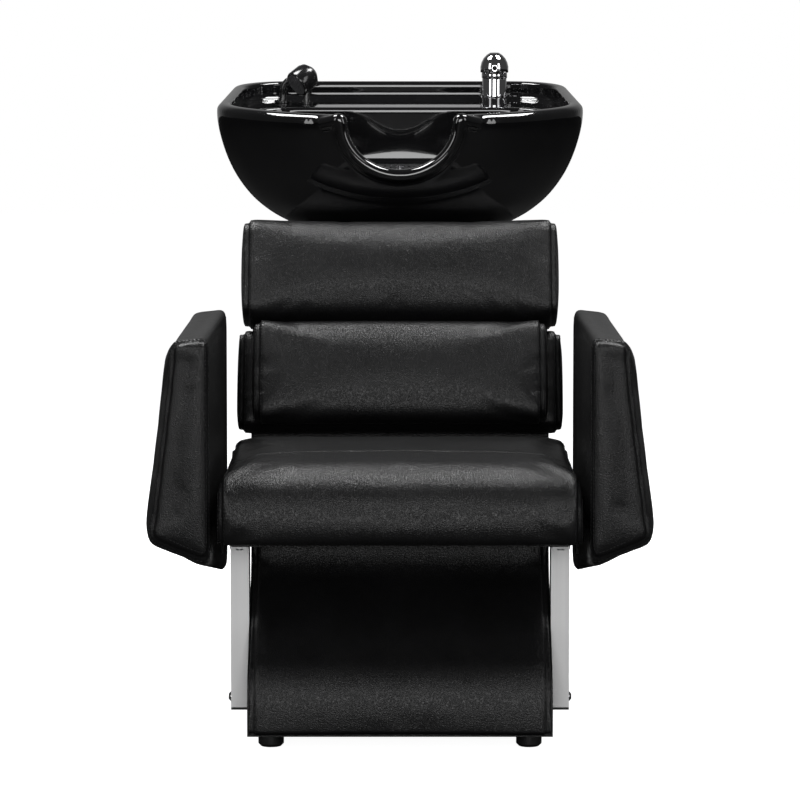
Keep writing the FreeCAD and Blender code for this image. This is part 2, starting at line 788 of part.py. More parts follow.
# Upholstery
def cushion(name, width, span, thickness, crown, radius, draw, point):
    """Loft a crowned pad across its width, with bellied sides, drawn-in ends and rounded front edges.

    The span runs from one side to the other, the thickness outwards from the base, and point turns
    a place across, along and outwards into the unit's frame.
    """
    wires = []
    for station, edge_share in STATION_SHARES:
        edge = draw * edge_share
        low = span[0] + edge
        high = span[1] - edge
        top = thickness - edge
        bulge = crown * (1 + CROWN_END_SHARE - station * station)
        pinch = draw * TOP_DRAW_SHARE
        corner = radius * (1 - math.sqrt(0.5))
        across = station * width / 2
        outline = [
            (low + draw, 0), (high - draw, 0),
            (high, (top - radius) * SIDE_BELLY_SHARE), (high - pinch, top - radius),
            (high - pinch - corner, top - corner), (high - pinch - radius, top),
            ((low + high) / 2, top + bulge), (low + pinch + radius, top),
            (low + pinch + corner, top - corner), (low + pinch, top - radius),
            (low, (top - radius) * SIDE_BELLY_SHARE),
        ]
        at = [point(across, along, out) for along, out in outline]
        wires.append(Part.Wire([
            line(at[0], at[1]), arc(at[1], at[2], at[3]), arc(at[3], at[4], at[5]),
            arc(at[5], at[6], at[7]), arc(at[7], at[8], at[9]), arc(at[9], at[10], at[0]),
        ]))
    return keep(name, shaped(name.title().replace("_", ""), Part.makeLoft(wires, True, True)))


def cushions():
    """Make the seat cushion, the two back cushions and the lumbar pad."""
    gap = num("soft_gap")
    seat_base = num("seat_bottom") + gap
    seat_span = (num("front_y"), num("front_y") + num("seat_length"))
    cushion("seat_cushion", num("seat_width"), seat_span, num("seat_cushion_thickness"), num("seat_crown"),
            num("seat_edge_radius"), num("seat_draw"), lambda x, y, out: Vector(x, y, seat_base + out))

    def back_point(base):
        return lambda x, s, out: back_place.multVec(Vector(x, -(base + out), s))

    board = num("back_board_thickness") + gap
    lumbar = board + num("lower_back_thickness") + num("lower_back_crown") + gap
    split = num("back_split")
    low = (num("back_start"), split - num("cushion_gap"))
    cushion("upper_back_cushion", num("upper_back_width"), (split, num("back_end")),
        num("upper_back_thickness"),
            num("upper_back_crown"), num("upper_back_radius"), num("back_draw"), back_point(board))
    cushion("lower_back_cushion", num("lower_back_width"), low, num("lower_back_thickness"),
            num("lower_back_crown"), num("lower_back_radius"), num("back_draw"), back_point(board))
    cushion("lumbar_pad", num("lumbar_width"), low, num("lumbar_thickness"), num("lumbar_crown"),
            num("lumbar_radius"), num("back_draw"), back_point(lumbar))


def inset(corners, depth):
    """Return a convex outline moved inwards by a depth."""
    moved = []
    for index, here in enumerate(corners):
        before = (corners[index - 1] - here).normalize()
        after = (corners[(index + 1) % len(corners)] - here).normalize()
        half = before.getAngle(after) / 2
        moved.append(here + (before + after).normalize() * (depth / math.sin(half)))
    return moved


def rounded_wire(corners, radius, across):
    """Return a closed outline with round corners, its X worked out from its height."""
    edges = []
    starts = []
    ends = []
    middles = []
    for index, here in enumerate(corners):
        before = (corners[index - 1] - here).normalize()
        after = (corners[(index + 1) % len(corners)] - here).normalize()
        half = before.getAngle(after) / 2
        reach = radius / math.tan(half)
        centre = here + (before + after).normalize() * (radius / math.sin(half))
        starts.append(here + before * reach)
        ends.append(here + after * reach)
        middles.append(centre + (here - centre).normalize() * radius)

    def lifted(flat):
        return Vector(across(flat.z), flat.y, flat.z)

    for index in range(len(corners)):
        following = (index + 1) % len(corners)
        edges.append(arc(lifted(starts[index]), lifted(middles[index]), lifted(ends[index])))
        edges.append(line(lifted(ends[index]), lifted(starts[following])))
    return Part.Wire(edges)


def arms():
    """Make the flared arm pads on their boards, with their brackets."""
    top = num("arm_top_height")
    corners = [
        Vector(0, num("arm_y"), top), Vector(0, num("arm_back_y"), top),
        Vector(0, num("arm_back_y"), num("arm_back_bottom")),
        Vector(0, num("arm_y"), num("arm_front_bottom")),
    ]
    inner = num("arm_inner")
    edge = num("arm_edge")
    radius = num("arm_corner_radius")
    small = inset(corners, edge)

    def outer(z):
        return inner + num("arm_top_width") + num("arm_flare_share") * (top - z)

    pad = Part.makeLoft([
        rounded_wire(small, radius - edge, lambda z: inner),
        rounded_wire(corners, radius, lambda z: inner + edge),
        rounded_wire(corners, radius, lambda z: outer(z) - edge),
        rounded_wire(small, radius - edge, outer),
    ], True, True)
    board_corners = inset(corners, num("arm_board_inset"))
    pocket_corners = inset(corners, num("arm_board_inset") - num("soft_gap"))
    depth = num("arm_board_thickness")
    board_face = Part.Face(Part.makePolygon([Vector(inner, p.y,
        p.z) for p in board_corners + board_corners[:1]]))
    pocket_face = Part.Face(Part.makePolygon(
        [Vector(inner - edge, p.y, p.z) for p in pocket_corners + pocket_corners[:1]]))
    board = shaped("ArmBoard", board_face.extrude(Vector(depth, 0, 0)))
    pocket = shaped("ArmPocket", pocket_face.extrude(Vector(depth + edge + num("soft_gap"), 0, 0)))
    right_pad = cut("ArmPadRight", shaped("ArmPad", pad), pocket)
    right_board = cut("ArmBoardRight", board, bolt_holes("ArmBoardHoles", arm_bolts))
    keep("arm_pad_right", right_pad)
    keep("arm_pad_left", mirrored("ArmPadLeft", right_pad))
    keep("arm_board_right", right_board)
    keep("arm_board_left", mirrored("ArmBoardLeft", right_board))
    upright = box(
        "ArmUpright", ("arm_bracket_thickness", "arm_bracket_length", "arm_bracket_drop"),
        ("arm_inner - arm_bracket_thickness", "bracket_front_y", "base_top_height - arm_bracket_drop"))
    flange = box(
        "ArmFlange", ("arm_inner - half_base - hole_fit", "arm_bracket_length", "arm_bracket_thickness"),
        ("half_base + hole_fit", "bracket_front_y", "base_top_height - arm_bracket_thickness"))
    bracket = cut("ArmBracketRight", fuse("ArmAngle", upright, flange),
                  bolt_holes("ArmBracketHoles", arm_bolts), screw_holes("ArmFlangeHoles", arm_screws))
    keep("arm_bracket_right", bracket)
    keep("arm_bracket_left", mirrored("ArmBracketLeft", bracket))
    copies("panel_bolts", panel_bolt_master, back_bolts + arm_bolts)


# Wash bowl
def plan_wire(half_width, front, back, level):
    """Return the bowl's outline at one level: a bowed front, straight sides and back, round corners."""
    scale = half_width / num("bowl_half_width")
    nose_y = num("bowl_nose") * scale - front
    corner = num("bowl_front_corner") * scale
    run = num("bowl_front_corner_run") * scale
    side_y = nose_y + run
    bend = (corner * corner + run * run) / (2 * corner)
    half_angle = math.asin(run / bend) / 2
    back_corner = num("bowl_back_corner") * scale
    back_width = half_width * BACK_WIDTH_SHARE
    turn = back_corner * (1 - math.sqrt(0.5))

    def at(side, x, y):
        return Vector(side * x, y, level)

    nose_x = half_width - corner
    mid = (half_width - bend + bend * math.cos(half_angle), side_y - bend * math.sin(half_angle))
    edges = [arc(at(-1, nose_x, nose_y), at(1, 0, -front), at(1, nose_x, nose_y))]
    edges.append(arc(at(1, nose_x, nose_y), at(1, *mid), at(1, half_width, side_y)))
    edges.append(line(at(1, half_width, side_y), at(1, back_width, back - back_corner)))
    edges.append(arc(at(1, back_width, back - back_corner), at(1, back_width - turn, back - turn),
                     at(1, back_width - back_corner, back)))
    edges.append(line(at(1, back_width - back_corner, back), at(-1, back_width - back_corner, back)))
    edges.append(arc(at(-1, back_width - back_corner, back), at(-1, back_width - turn, back - turn),
                     at(-1, back_width, back - back_corner)))
    edges.append(line(at(-1, back_width, back - back_corner), at(-1, half_width, side_y)))
    edges.append(arc(at(-1, half_width, side_y), at(-1, *mid), at(-1, nose_x, nose_y)))
    return Part.Wire(edges)


def hull(wall, top_depth, overrun):
    """Return the bowl's outer form, or a form inside it by a wall, from a depth below the rim downwards."""
    height = num("bowl_height")
    wires = []
    for depth_share, width_share, front_share, back_share in HULL_SHARES:
        depth = depth_share * height
        if depth < top_depth:
            continue
        level = num("rim_height") - depth - (overrun if depth_share == 1 else 0)
        wires.append(plan_wire(
            num("bowl_half_width") * width_share - wall, num("bowl_front") * front_share - wall,
            num("bowl_back") * back_share - wall, level))
    return wires


def bowl():
    """Make the glazed bowl with its deck, basin, sump, neck cut-out, rolled lip and holes."""
    rim = num("rim_height")
    over = num("overrun")
    deck = num("deck_level")
    floor = num("floor_level")
    rim_half = num("bowl_half_width") - num("rim_width")
    rim_front = num("bowl_front") - num("rim_width")
    rim_back = num("bowl_back") - num("rim_width")
    body = Part.makeLoft(hull(0, 0, 0), True, True)
    lip_level = rim - num("notch_rise")
    lip_y = -num("bowl_front") * LIP_PLACE_SHARE
    lip = Part.makeTorus(num("notch_radius") + num("lip_radius") * LIP_SINK_SHARE, num("lip_radius"),
                         Vector(0, lip_y, lip_level), Vector(0, 1, 0))
    reach = num("bowl_half_width")
    lip = lip.cut(Part.makeBox(2 * reach, 2 * reach, reach, Vector(-reach, lip_y - reach, lip_level)))
    recess = Part.makeLoft([
        plan_wire(rim_half, rim_front, rim_back, rim + over), plan_wire(rim_half, rim_front, rim_back, deck),
    ], True, True)
    basin = Part.makeLoft([
        plan_wire(num("basin_half_width") * width_share, num("basin_front") * front_share,
                  num("deck_front") * back_share, deck + (over if share == 0 else 0) - share * (deck - floor))
        for share, width_share, front_share, back_share in BASIN_SHARES
    ], True, True)
    under_top = num("deck_depth") + num("deck_thickness")
    outer = hull(num("bowl_wall"), under_top, over)
    top_share = (under_top / num("bowl_height") - HULL_SHARES[1][0]) / (HULL_SHARES[2][0] - HULL_SHARES[1][0])
    top_sizes = [
        upper + (lower - upper) * top_share for upper, lower in zip(HULL_SHARES[1][1:], HULL_SHARES[2][1:])
    ]
    lid = plan_wire(
        num("bowl_half_width") * top_sizes[0] - num("bowl_wall"),
        num("bowl_front") * top_sizes[1] - num("bowl_wall"),
        num("bowl_back") * top_sizes[2] - num("bowl_wall"), rim - under_top)
    wall = num("bowl_wall")
    shell = Part.makeLoft([
        plan_wire(num("basin_half_width") * width_share + wall, num("basin_front") * front_share + wall,
                  num("deck_front") * back_share + wall, deck - share * (deck - floor + wall))
        for share, width_share, front_share, back_share in BASIN_SHARES
    ], True, True)
    sump_shell = Part.makeBox(
        num("sump_width") + 2 * wall, num("sump_length") + 2 * wall, num("sump_depth") + wall,
        Vector(-num("sump_width") / 2 - wall, num("drain_back") - num("sump_length") / 2 - wall,
               num("sump_level") - wall))
    boss_x = num("bracket_x") + num("bracket_plate") / 2
    boss_half = num("bracket_flange_length") / 2
    bosses = [
        Part.makeBox(num("bracket_flange_width"), 2 * boss_half, floor - num("bowl_bottom"),
                     Vector(x, -boss_half, num("bowl_bottom")))
        for x in (-boss_x, boss_x - num("bracket_flange_width"))
    ]
    bosses = [
        boss.fuse(Part.makeBox(num("bracket_flange_width"), 2 * boss_half, 2 * over,
                               Vector(boss.BoundBox.XMin, -boss_half, num("bowl_bottom") - 2 * over)))
        for boss in bosses
    ]
    nut_room = Part.makeCylinder(
        num("drain_nut_radius") + num("drain_nut_room"),
        num("sump_level") - wall - num("bowl_bottom") + 2 * over,
        Vector(0, num("drain_back"), num("bowl_bottom") - 2 * over))
    bosses = [boss.cut(nut_room) for boss in bosses]
    hollow = Part.makeLoft([lid] + outer, True, True).cut([shell, sump_shell] + bosses)
    notch_back = -num("basin_front") * NOTCH_REACH_SHARE
    notch_front = -num("bowl_front") - 2 * num("lip_radius")
    notch = Part.makeCylinder(num("notch_radius"), notch_back - notch_front,
                              Vector(0, notch_front, lip_level), Vector(0, 1, 0))
    seat = Part.makeBox(
        num("strainer_width") + 2 * num("strainer_play"), num("strainer_length") + 2 * num("strainer_play"),
        num("strainer_seat") + over,
        Vector(-num("strainer_width") / 2 - num("strainer_play"),
               num("drain_back") - num("strainer_length") / 2 - num("strainer_play"),
               floor - num("strainer_seat")))
    sump = Part.makeBox(
        num("sump_width"), num("sump_length"), num("sump_depth"),
        Vector(-num("sump_width") / 2, num("drain_back") - num("sump_length") / 2, num("sump_level")))
    drop = rim - num("bowl_bottom")

    def hole(radius, x, y, bottom):
        return Part.makeCylinder(radius, drop, Vector(x, y, bottom))

    stud_hole = num("deck_stud_radius") + num("hole_fit")
    holes = [
        hole(num("drain_hole_radius"), 0, num("drain_back"), num("sump_level") - drop + over),
        hole(num("tap_hole_radius"), num("tap_x"), num("tap_back"), deck - num("deck_thickness") - over),
        hole(stud_hole, -num("spray_rest_x"), num("spray_rest_back"), deck - num("deck_thickness") - over),
        hole(stud_hole, -num("guide_x"), num("guide_back"), deck - num("deck_thickness") - over),
    ]
    for x, y in bowl_bolt_spots():
        holes.append(Part.makeCylinder(
            num("bowl_bolt_radius") + num("hole_fit"), num("bowl_bolt_depth") + over,
            Vector(x, y, num("bowl_bottom") - over)))
    body = body.cut([recess, basin, hollow, notch, seat, sump] + holes).fuse(lip)
    solid = max(body.Solids, key=lambda item: item.Volume)
    keep("bowl", shaped("Bowl", solid), bowl_place)


def bowl_bolt_spots():
    """Return the places across and along of the bolts that hold the bowl on its brackets."""
    x = num("bracket_x") - num("bracket_flange_width") / 2
    return [(side * x, end * num("bowl_bolt_spread")) for side in (-1, 1) for end in (-1, 1)]


def tilt_hardware():
    """Make the brackets, pads, washers, bolts and nuts that carry the tilting bowl."""
    plate = num("bracket_plate")
    pad_bottom = num("bowl_bottom") - num("bracket_pad")
    flange_bottom = pad_bottom - plate
    half = num("bracket_flange_length") / 2
    ear_half = num("bracket_ear_half")
    ear_x = num("bracket_x") - plate / 2
    flange_x = ear_x + plate - num("bracket_flange_width")
    along_x = Vector(1, 0, 0)
    spots = [spot for spot in bowl_bolt_spots() if spot[0] > 0]
    bolt_hole = num("bowl_bolt_radius") + num("hole_fit")
    long = num("bracket_flange_width") * 2
    flange = Part.makeBox(num("bracket_flange_width"), 2 * half, plate, Vector(flange_x, -half,
        flange_bottom))
    ear = Part.makeBox(plate, 2 * ear_half, flange_bottom + num("match_gap"), Vector(ear_x, -ear_half, 0))
    round_end = Part.makeCylinder(ear_half, plate, Vector(ear_x, 0, 0), along_x)
    bore = Part.makeCylinder(num("pivot_radius") + num("running_fit"), long, Vector(flange_x, 0, 0), along_x)
    pads = Part.makeBox(num("bracket_flange_width"), 2 * half, num("bracket_pad"), Vector(flange_x, -half,
        pad_bottom))
    drills = [Part.makeCylinder(bolt_hole, long, Vector(x, y, flange_bottom - plate)) for x, y in spots]
    bracket = shaped("BowlBracketRight", flange.fuse([ear, round_end]).removeSplitter().cut([bore] + drills))
    pad = shaped("BracketPad", pads.cut(drills))
    for label, source in (("bowl_bracket", bracket), ("bracket_pad", pad)):
        keep(label + "_right", source, bowl_place)
        other = mirrored(label.title().replace("_", "") + "Left", source)
        keep(label + "_left", other)
    bolt = turned_body("BowlBoltMaster", [
        ("0", "-bowl_bolt_head_height"), ("bowl_bolt_head_radius", "-bowl_bolt_head_height"),
        ("bowl_bolt_head_radius", "0"), ("bowl_bolt_radius", "0"),
        ("bowl_bolt_radius", "bracket_plate + bracket_pad + bowl_bolt_depth - overrun"),
        ("0", "bracket_plate + bracket_pad + bowl_bolt_depth - overrun"),
    ])
    copies("bowl_bolts", bolt, [on_bowl(x, y, flange_bottom) for x, y in bowl_bolt_spots()])
    washer_x = ear_x + plate
    outer_x = washer_x + num("tilt_washer")
    axis_y = num("axis_y")
    axis_z = num("axis_height")
    foot = Part.makeBox(
        num("bracket_flange_width"), 2 * half, plate, Vector(outer_x, axis_y - half,
        num("column_top_height")))
    post = Part.makeBox(plate, 2 * ear_half, axis_z - num("column_top_height"),
                        Vector(outer_x, axis_y - ear_half, num("column_top_height")))
    cap = Part.makeCylinder(ear_half, plate, Vector(outer_x, axis_y, axis_z), along_x)
    cap = cap.cut(Part.makeBox(long, 2 * long, long, Vector(outer_x - plate, axis_y - long,
                                                            num("column_top_height") - long)))
    pin_hole = Part.makeCylinder(
        num("pivot_radius") + num("running_fit"), long, Vector(outer_x - plate, axis_y, axis_z), along_x)
    support = shaped("ColumnBracketSolid", foot.fuse([post, cap]).removeSplitter().cut(pin_hole))
    right = cut("ColumnBracketRight", support, screw_holes("BracketHoles", column_screws))
    keep("column_bracket_right", right)
    keep("column_bracket_left", mirrored("ColumnBracketLeft", right))
    washer = turned_body("TiltWasherMaster", [
        ("pivot_radius + running_fit", "0"), ("tilt_washer_radius", "0"),
        ("tilt_washer_radius", "tilt_washer"),
        ("pivot_radius + running_fit", "tilt_washer"),
    ])
    pivot = turned_body("PivotMaster", [
        ("0", "-pivot_head_height"), ("pivot_head_radius", "-pivot_head_height"), ("pivot_head_radius", "0"),
        ("pivot_radius", "0"), ("pivot_radius", "2 * bracket_plate + tilt_washer + pivot_nut_height"),
        ("0", "2 * bracket_plate + tilt_washer + pivot_nut_height"),
    ])
    nut = hex_nut("PivotNutMaster", "pivot_nut_radius", "pivot_radius + running_fit", "pivot_nut_height")
    sides = [(side, Rotation(Vector(0, 1, 0), 90 * side)) for side in (-1, 1)]

    def row(x):
        return [Placement(Vector(side * x, axis_y, axis_z), turn) for side, turn in sides]

    copies("tilt_washers", washer, row(washer_x))
    copies("pivot_bolts", pivot, row(ear_x))
    copies("pivot_nuts", nut, row(outer_x + plate))


def drain():
    """Make the drain body with its washer and locknut, and the lift-out hair strainer."""
    seat = num("sump_level")
    spot = on_bowl(0, num("drain_back"), seat)
    keep("drain_body", turned_body("DrainBody", [
        ("drain_bore", "drain_flange_height"), ("drain_bore", "bowl_bottom - sump_level - drain_tail"),
        ("drain_spigot_radius", "bowl_bottom - sump_level - drain_tail"),
        ("drain_spigot_radius", "bowl_bottom - sump_level - drain_tail + drain_spigot"),
        ("drain_radius", "bowl_bottom - sump_level - drain_tail + drain_spigot"), ("drain_radius", "0"),
        ("drain_flange_radius", "0"), ("drain_flange_radius", "drain_flange_height"),
    ]), spot)
    keep("drain_washer", turned_body("DrainWasher", [
        ("drain_radius + hole_fit", "-bowl_wall"), ("drain_nut_radius", "-bowl_wall"),
        ("drain_nut_radius", "-bowl_wall - drain_washer_height"),
        ("drain_radius + hole_fit", "-bowl_wall - drain_washer_height"),
    ]), spot)
    nut = hex_nut("DrainNutMaster", "drain_nut_radius", "drain_radius + hole_fit", "drain_nut_height")
    nut_level = seat - num("bowl_wall") - num("drain_washer_height") - num("drain_nut_height")
    keep("drain_locknut", nut, on_bowl(0, num("drain_back"), nut_level))
    width = num("strainer_width")
    length = num("strainer_length")
    thick = num("strainer_thickness")
    plate = Part.makeBox(width, length, thick, Vector(-width / 2, -length / 2, 0))
    slots = []
    rows = int(num("slot_row_count"))
    count = int(num("slot_count"))
    pitch_x = num("sump_width") / (count + 1)
    pitch_y = num("sump_length") / rows
    slot_length = pitch_y - 2 * num("slot_width")
    for row_index in range(rows):
        for index in range(count):
            x = -num("sump_width") / 2 + (index + 1) * pitch_x - num("slot_width") / 2
            y = -num("sump_length") / 2 + row_index * pitch_y + num("slot_width")
            slots.append(Part.makeBox(num("slot_width"), slot_length, 2 * thick, Vector(x, y, -thick / 2)))
    knob = Part.makeCylinder(num("strainer_knob_radius"), num("strainer_knob_height"), Vector(0, 0,
        thick / 2))
    strainer = plate.cut(slots).fuse(knob).removeSplitter()
    keep("hair_strainer", shaped("HairStrainer", strainer),
         on_bowl(0, num("drain_back"), num("floor_level") - num("strainer_seat")))


# Tap
def tap():
    """Make the single-lever mixer: body with shank, nut, cartridge, ring, stem, handle, pin and index."""
    spot = on_bowl(num("tap_x"), num("tap_back"), num("deck_level"))
    casting = turned_body("TapCasting", [
        ("0", "-tap_shank_length"), ("tap_shank_radius", "-tap_shank_length"), ("tap_shank_radius", "0"),
        ("tap_foot_radius", "0"), ("tap_foot_radius", "tap_foot_height"),
        ("tap_flange_radius", "tap_foot_height"),
        ("tap_flange_radius", "tap_foot_height + tap_flange_height"),
        ("tap_body_radius", "tap_foot_height + tap_flange_height"), ("tap_body_radius", "tap_body_top"),
        ("cartridge_radius + running_fit", "tap_body_top"),
        ("cartridge_radius + running_fit", "cartridge_bottom"),
        ("0", "cartridge_bottom"),
    ])
    inlets = [
        cylinder(name, "tap_inlet_radius", "tap_inlet_depth + overrun",
                 (sign + "tap_inlet_offset", "0", "-tap_shank_length - overrun"))
        for name, sign in (("ColdInlet", "-"), ("HotInlet", ""))
    ]
    keep("tap_body", cut("TapBody", casting, *inlets), spot)
    nut = hex_nut("TapNut", "tap_nut_radius", "tap_shank_radius + hole_fit", "tap_nut_height")
    keep("tap_locknut", nut, on_bowl(num("tap_x"), num("tap_back"),
                                     num("deck_level") - num("deck_thickness") - num("tap_nut_height")))
    keep("tap_cartridge", turned_body("TapCartridge", [
        ("0", "cartridge_bottom"), ("cartridge_radius", "cartridge_bottom"),
        ("cartridge_radius", "cartridge_top"),
        ("0", "cartridge_top"),
    ]), spot)
    keep("tap_ring", turned_body("TapRing", [
        ("bonnet_bore", "tap_body_top"), ("bonnet_radius", "tap_body_top"),
        ("bonnet_radius", "tap_body_top + bonnet_height"), ("bonnet_bore", "tap_body_top + bonnet_height"),
    ]), spot)
    disc = cylinder(
        "StemDisc", "stem_disc_radius", "stem_disc_height", ("0", "0", "cartridge_top + stem_gap"))
    tongue = box(
        "StemTongue", ("stem_tongue_width", "stem_tongue_depth",
                       "lever_pivot_height + stem_tongue_above_pivot - cartridge_top - stem_gap"),
        ("-stem_tongue_width / 2", "-stem_tongue_depth / 2", "cartridge_top + stem_gap"))
    pin_bore = cylinder("StemBore", "lever_pin_radius + running_fit", "2 * stem_tongue_width",
                        ("-stem_tongue_width", "0", "lever_pivot_height"), "x")
    keep("tap_stem", cut("TapStem", fuse("StemSolid", disc, tongue), pin_bore), spot)
    handle(spot)


def handle(spot):
    """Make the dome handle with its lever, pivot pin and index spot."""
    radius = num("handle_radius")
    bottom = "handle_bottom"
    outer = [(f"handle_radius * {r}", f"{bottom} + handle_height * {z}") for z, r in DOME_SHARES]
    shell = turned_body("HandleShell", outer + [
        ("0", f"{bottom} + handle_height"), ("0", f"{bottom} + handle_height - handle_roof"),
        (f"handle_radius * {DOME_INNER_SHARE}", f"{bottom} + handle_height - handle_roof"),
        ("handle_radius - handle_wall", f"{bottom} + handle_height * {DOME_SHARES[1][0]}"),
        ("handle_radius - handle_wall", bottom),
    ])
    cheek_bottom = "lever_pivot_height - handle_cheek_half"
    cheeks = [
        box(name, ("handle_cheek", "2 * handle_cheek_half",
                   f"{bottom} + handle_height - handle_roof / 2 - {cheek_bottom.replace('-', '+', 1)}"),
            (x, "-handle_cheek_half", cheek_bottom))
        for name, x in (("CheekLeft", "-stem_tongue_width / 2 - stem_gap - handle_cheek"),
                        ("CheekRight", "stem_tongue_width / 2 + stem_gap"))
    ]
    lever = box(
        "LeverBlade", ("lever_width", "lever_length + handle_wall", "lever_thickness"),
        ("-lever_width / 2", "handle_radius - 2 * handle_wall",
         f"{bottom} + handle_height * {DOME_SHARES[1][0]}"))
    pin_hole = cylinder("HandlePinHole", "lever_pin_radius + hole_fit", "2 * handle_radius",
                        ("-handle_radius", "0", "lever_pivot_height"), "x")
    index_level = f"{bottom} + handle_height * {DOME_SHARES[1][0]}"
    index_hole = cylinder("IndexHole", "index_radius + hole_fit", "2 * index_height",
                          ("0", "-handle_radius - index_height", index_level), "y")
    keep("tap_handle", cut("TapHandle", fuse("HandleSolid", shell, lever, *cheeks), pin_hole, index_hole),
        spot)
    keep("lever_pin", turned_body("LeverPin", [
        ("0", "0"), ("lever_pin_radius", "0"),
        ("lever_pin_radius", "stem_tongue_width + 2 * (stem_gap + handle_cheek)"),
        ("0", "stem_tongue_width + 2 * (stem_gap + handle_cheek)"),
    ]), spot.multiply(Placement(
        Vector(-num("stem_tongue_width") / 2 - num("stem_gap") - num("handle_cheek"), 0,
        num("lever_pivot_height")),
        TURNS["x"])))
    level = num("handle_bottom") + num("handle_height") * DOME_SHARES[1][0]
    keep("tap_index", turned_body("TapIndex", [
        ("0", "0"), ("index_radius", "0"), ("index_radius", "index_height - handle_wall"),
        ("0", "index_height - handle_wall"),
    ]), spot.multiply(Placement(Vector(0, -radius - num("handle_wall") / 2, level), TURNS["y"])))


# Spray
def spray():
    """Make the hand spray, the post that it rests on and the bent guide beside it."""
    deck = num("deck_level")
    pan = Rotation(Vector(0, 0, 1), num("spray_pan"))
    turn = pan.multiply(Rotation(Vector(0, 1, 0), 90 - num("spray_pitch")))
    rest_top = Vector(-num("spray_rest_x"), num("spray_rest_back"), deck + num("spray_lift"))
    face = rest_top - turn.multVec(Vector(0, 0, num("spray_carry")))
    spray_place = bowl_place.multiply(Placement(face, turn))
    profile = [("0", "spray_face_height"), ("spray_face_radius + hole_fit", "spray_face_height"),
               ("spray_face_radius + hole_fit", "0")]
    profile += [(f"spray_radius * {r}", f"spray_length * {z}") for r, z in SPRAY_BODY_SHARES]
    profile += [("spray_tail_radius", "spray_length"), ("spray_inlet_radius", "spray_length"),
                ("spray_inlet_radius", "spray_length - spray_inlet_depth"),
                ("0", "spray_length - spray_inlet_depth")]
    keep("spray_head", turned_body("SprayHead", profile), spray_place)
    disc = turned_body("SprayDisc", [
        ("0", "0"), ("spray_face_radius", "0"), ("spray_face_radius", "spray_face_height"),
        ("0", "spray_face_height"),
    ])
    nozzles = []
    for ring in (1, 2):
        count = int(num("spray_nozzle_count")) * ring // 2
        for index in range(count):
            angle = 2 * math.pi * index / count
            reach = num("spray_face_radius") * ring / 3
            nozzles.append(Part.makeCylinder(
                num("spray_nozzle_radius"), 2 * num("spray_face_height"),
                Vector(reach * math.cos(angle), reach * math.sin(angle), -num("spray_face_height") / 2)))
    keep("spray_face", cut("SprayFace", disc, shaped("Nozzles", Part.makeCompound(nozzles))), spray_place)
    rest = turned_body("RestPost", [
        ("0", "-deck_stud_length"), ("deck_stud_radius", "-deck_stud_length"), ("deck_stud_radius", "0"),
        ("rest_flange_radius", "0"), ("rest_flange_radius", "rest_flange_height"),
        ("rest_stem_radius", "rest_flange_height"), ("rest_stem_radius", "spray_lift"), ("0", "spray_lift"),
    ])
    rest_spot = Vector(-num("spray_rest_x"), num("spray_rest_back"), deck)
    seat = shaped("RestSeat", Part.makeCylinder(num("spray_radius") + num("soft_gap"),
        2 * num("spray_length")))
    seat.Placement = Placement(face - rest_spot - turn.multVec(Vector(0, 0, num("spray_length") / 2)), turn)
    keep("spray_rest", cut("SprayRest", rest, seat), bowl_place.multiply(Placement(rest_spot, UP)))
    rise = num("guide_rise")
    bend = num("guide_bend")
    angle = math.radians(num("guide_turn"))

    def on_bend(part):
        return Vector(bend * (1 - math.cos(angle * part)), 0, rise + bend * math.sin(angle * part))

    foot = Vector(0, 0, -num("deck_stud_length"))
    path = Part.Wire([line(foot, on_bend(0)), arc(on_bend(0), on_bend(1 / 2), on_bend(1))])

    def tube(radius):
        ring = Part.Wire(Part.makeCircle(radius, foot, Vector(0, 0, 1)))
        return path.makePipeShell([ring], True, False)

    stud = Part.makeCylinder(num("deck_stud_radius"), num("deck_stud_length"), foot)
    flange = Part.makeCylinder(num("guide_flange_radius"), num("guide_flange_height"))
    guide = tube(num("guide_tube_radius")).fuse([stud, flange]).cut(tube(num("guide_bore"))).removeSplitter()
    guide_spot = (-num("guide_x"), num("guide_back"))
    keep("spray_guide", shaped("SprayGuide", guide), on_bowl(*guide_spot, deck))
    nut = hex_nut("DeckNutMaster", "deck_nut_radius", "deck_stud_radius + hole_fit", "deck_nut_height")
    nut_level = deck - num("deck_thickness") - num("deck_nut_height")
    copies("deck_nuts", nut, [on_bowl(*guide_spot, nut_level), on_bowl(rest_spot.x, rest_spot.y, nut_level)])


base_sides()
front_cover()
boards()
feet_and_screws()
side_legs()
cushions()
arms()
bowl()
tilt_hardware()
drain()
tap()
spray()
doc.recompute()

faults = [item.Name for item in doc.Objects if "Invalid" in item.State or "Error" in item.State]
faults += [item.Label for item in SUB_PARTS if item.Shape.isNull() or not item.Shape.isValid()]
if faults:
    raise RuntimeError("failed objects: " + ", ".join(faults))
os.makedirs("parts", exist_ok=True)
for item in SUB_PARTS:
    item.Shape.exportStep(f"parts/{item.Label}.step")
    print(item.Label, len(item.Shape.Solids), round(item.Shape.Volume))
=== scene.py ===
"""Salon backwash unit, dressed around its frame: upholstery, bowl, finishes, light and camera."""
import json
import logging
import math
from dataclasses import dataclass
from enum import Enum
from typing import Iterable, Sequence

import bmesh
import bpy
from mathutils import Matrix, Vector
from mathutils.bvhtree import BVHTree
from mathutils.kdtree import KDTree


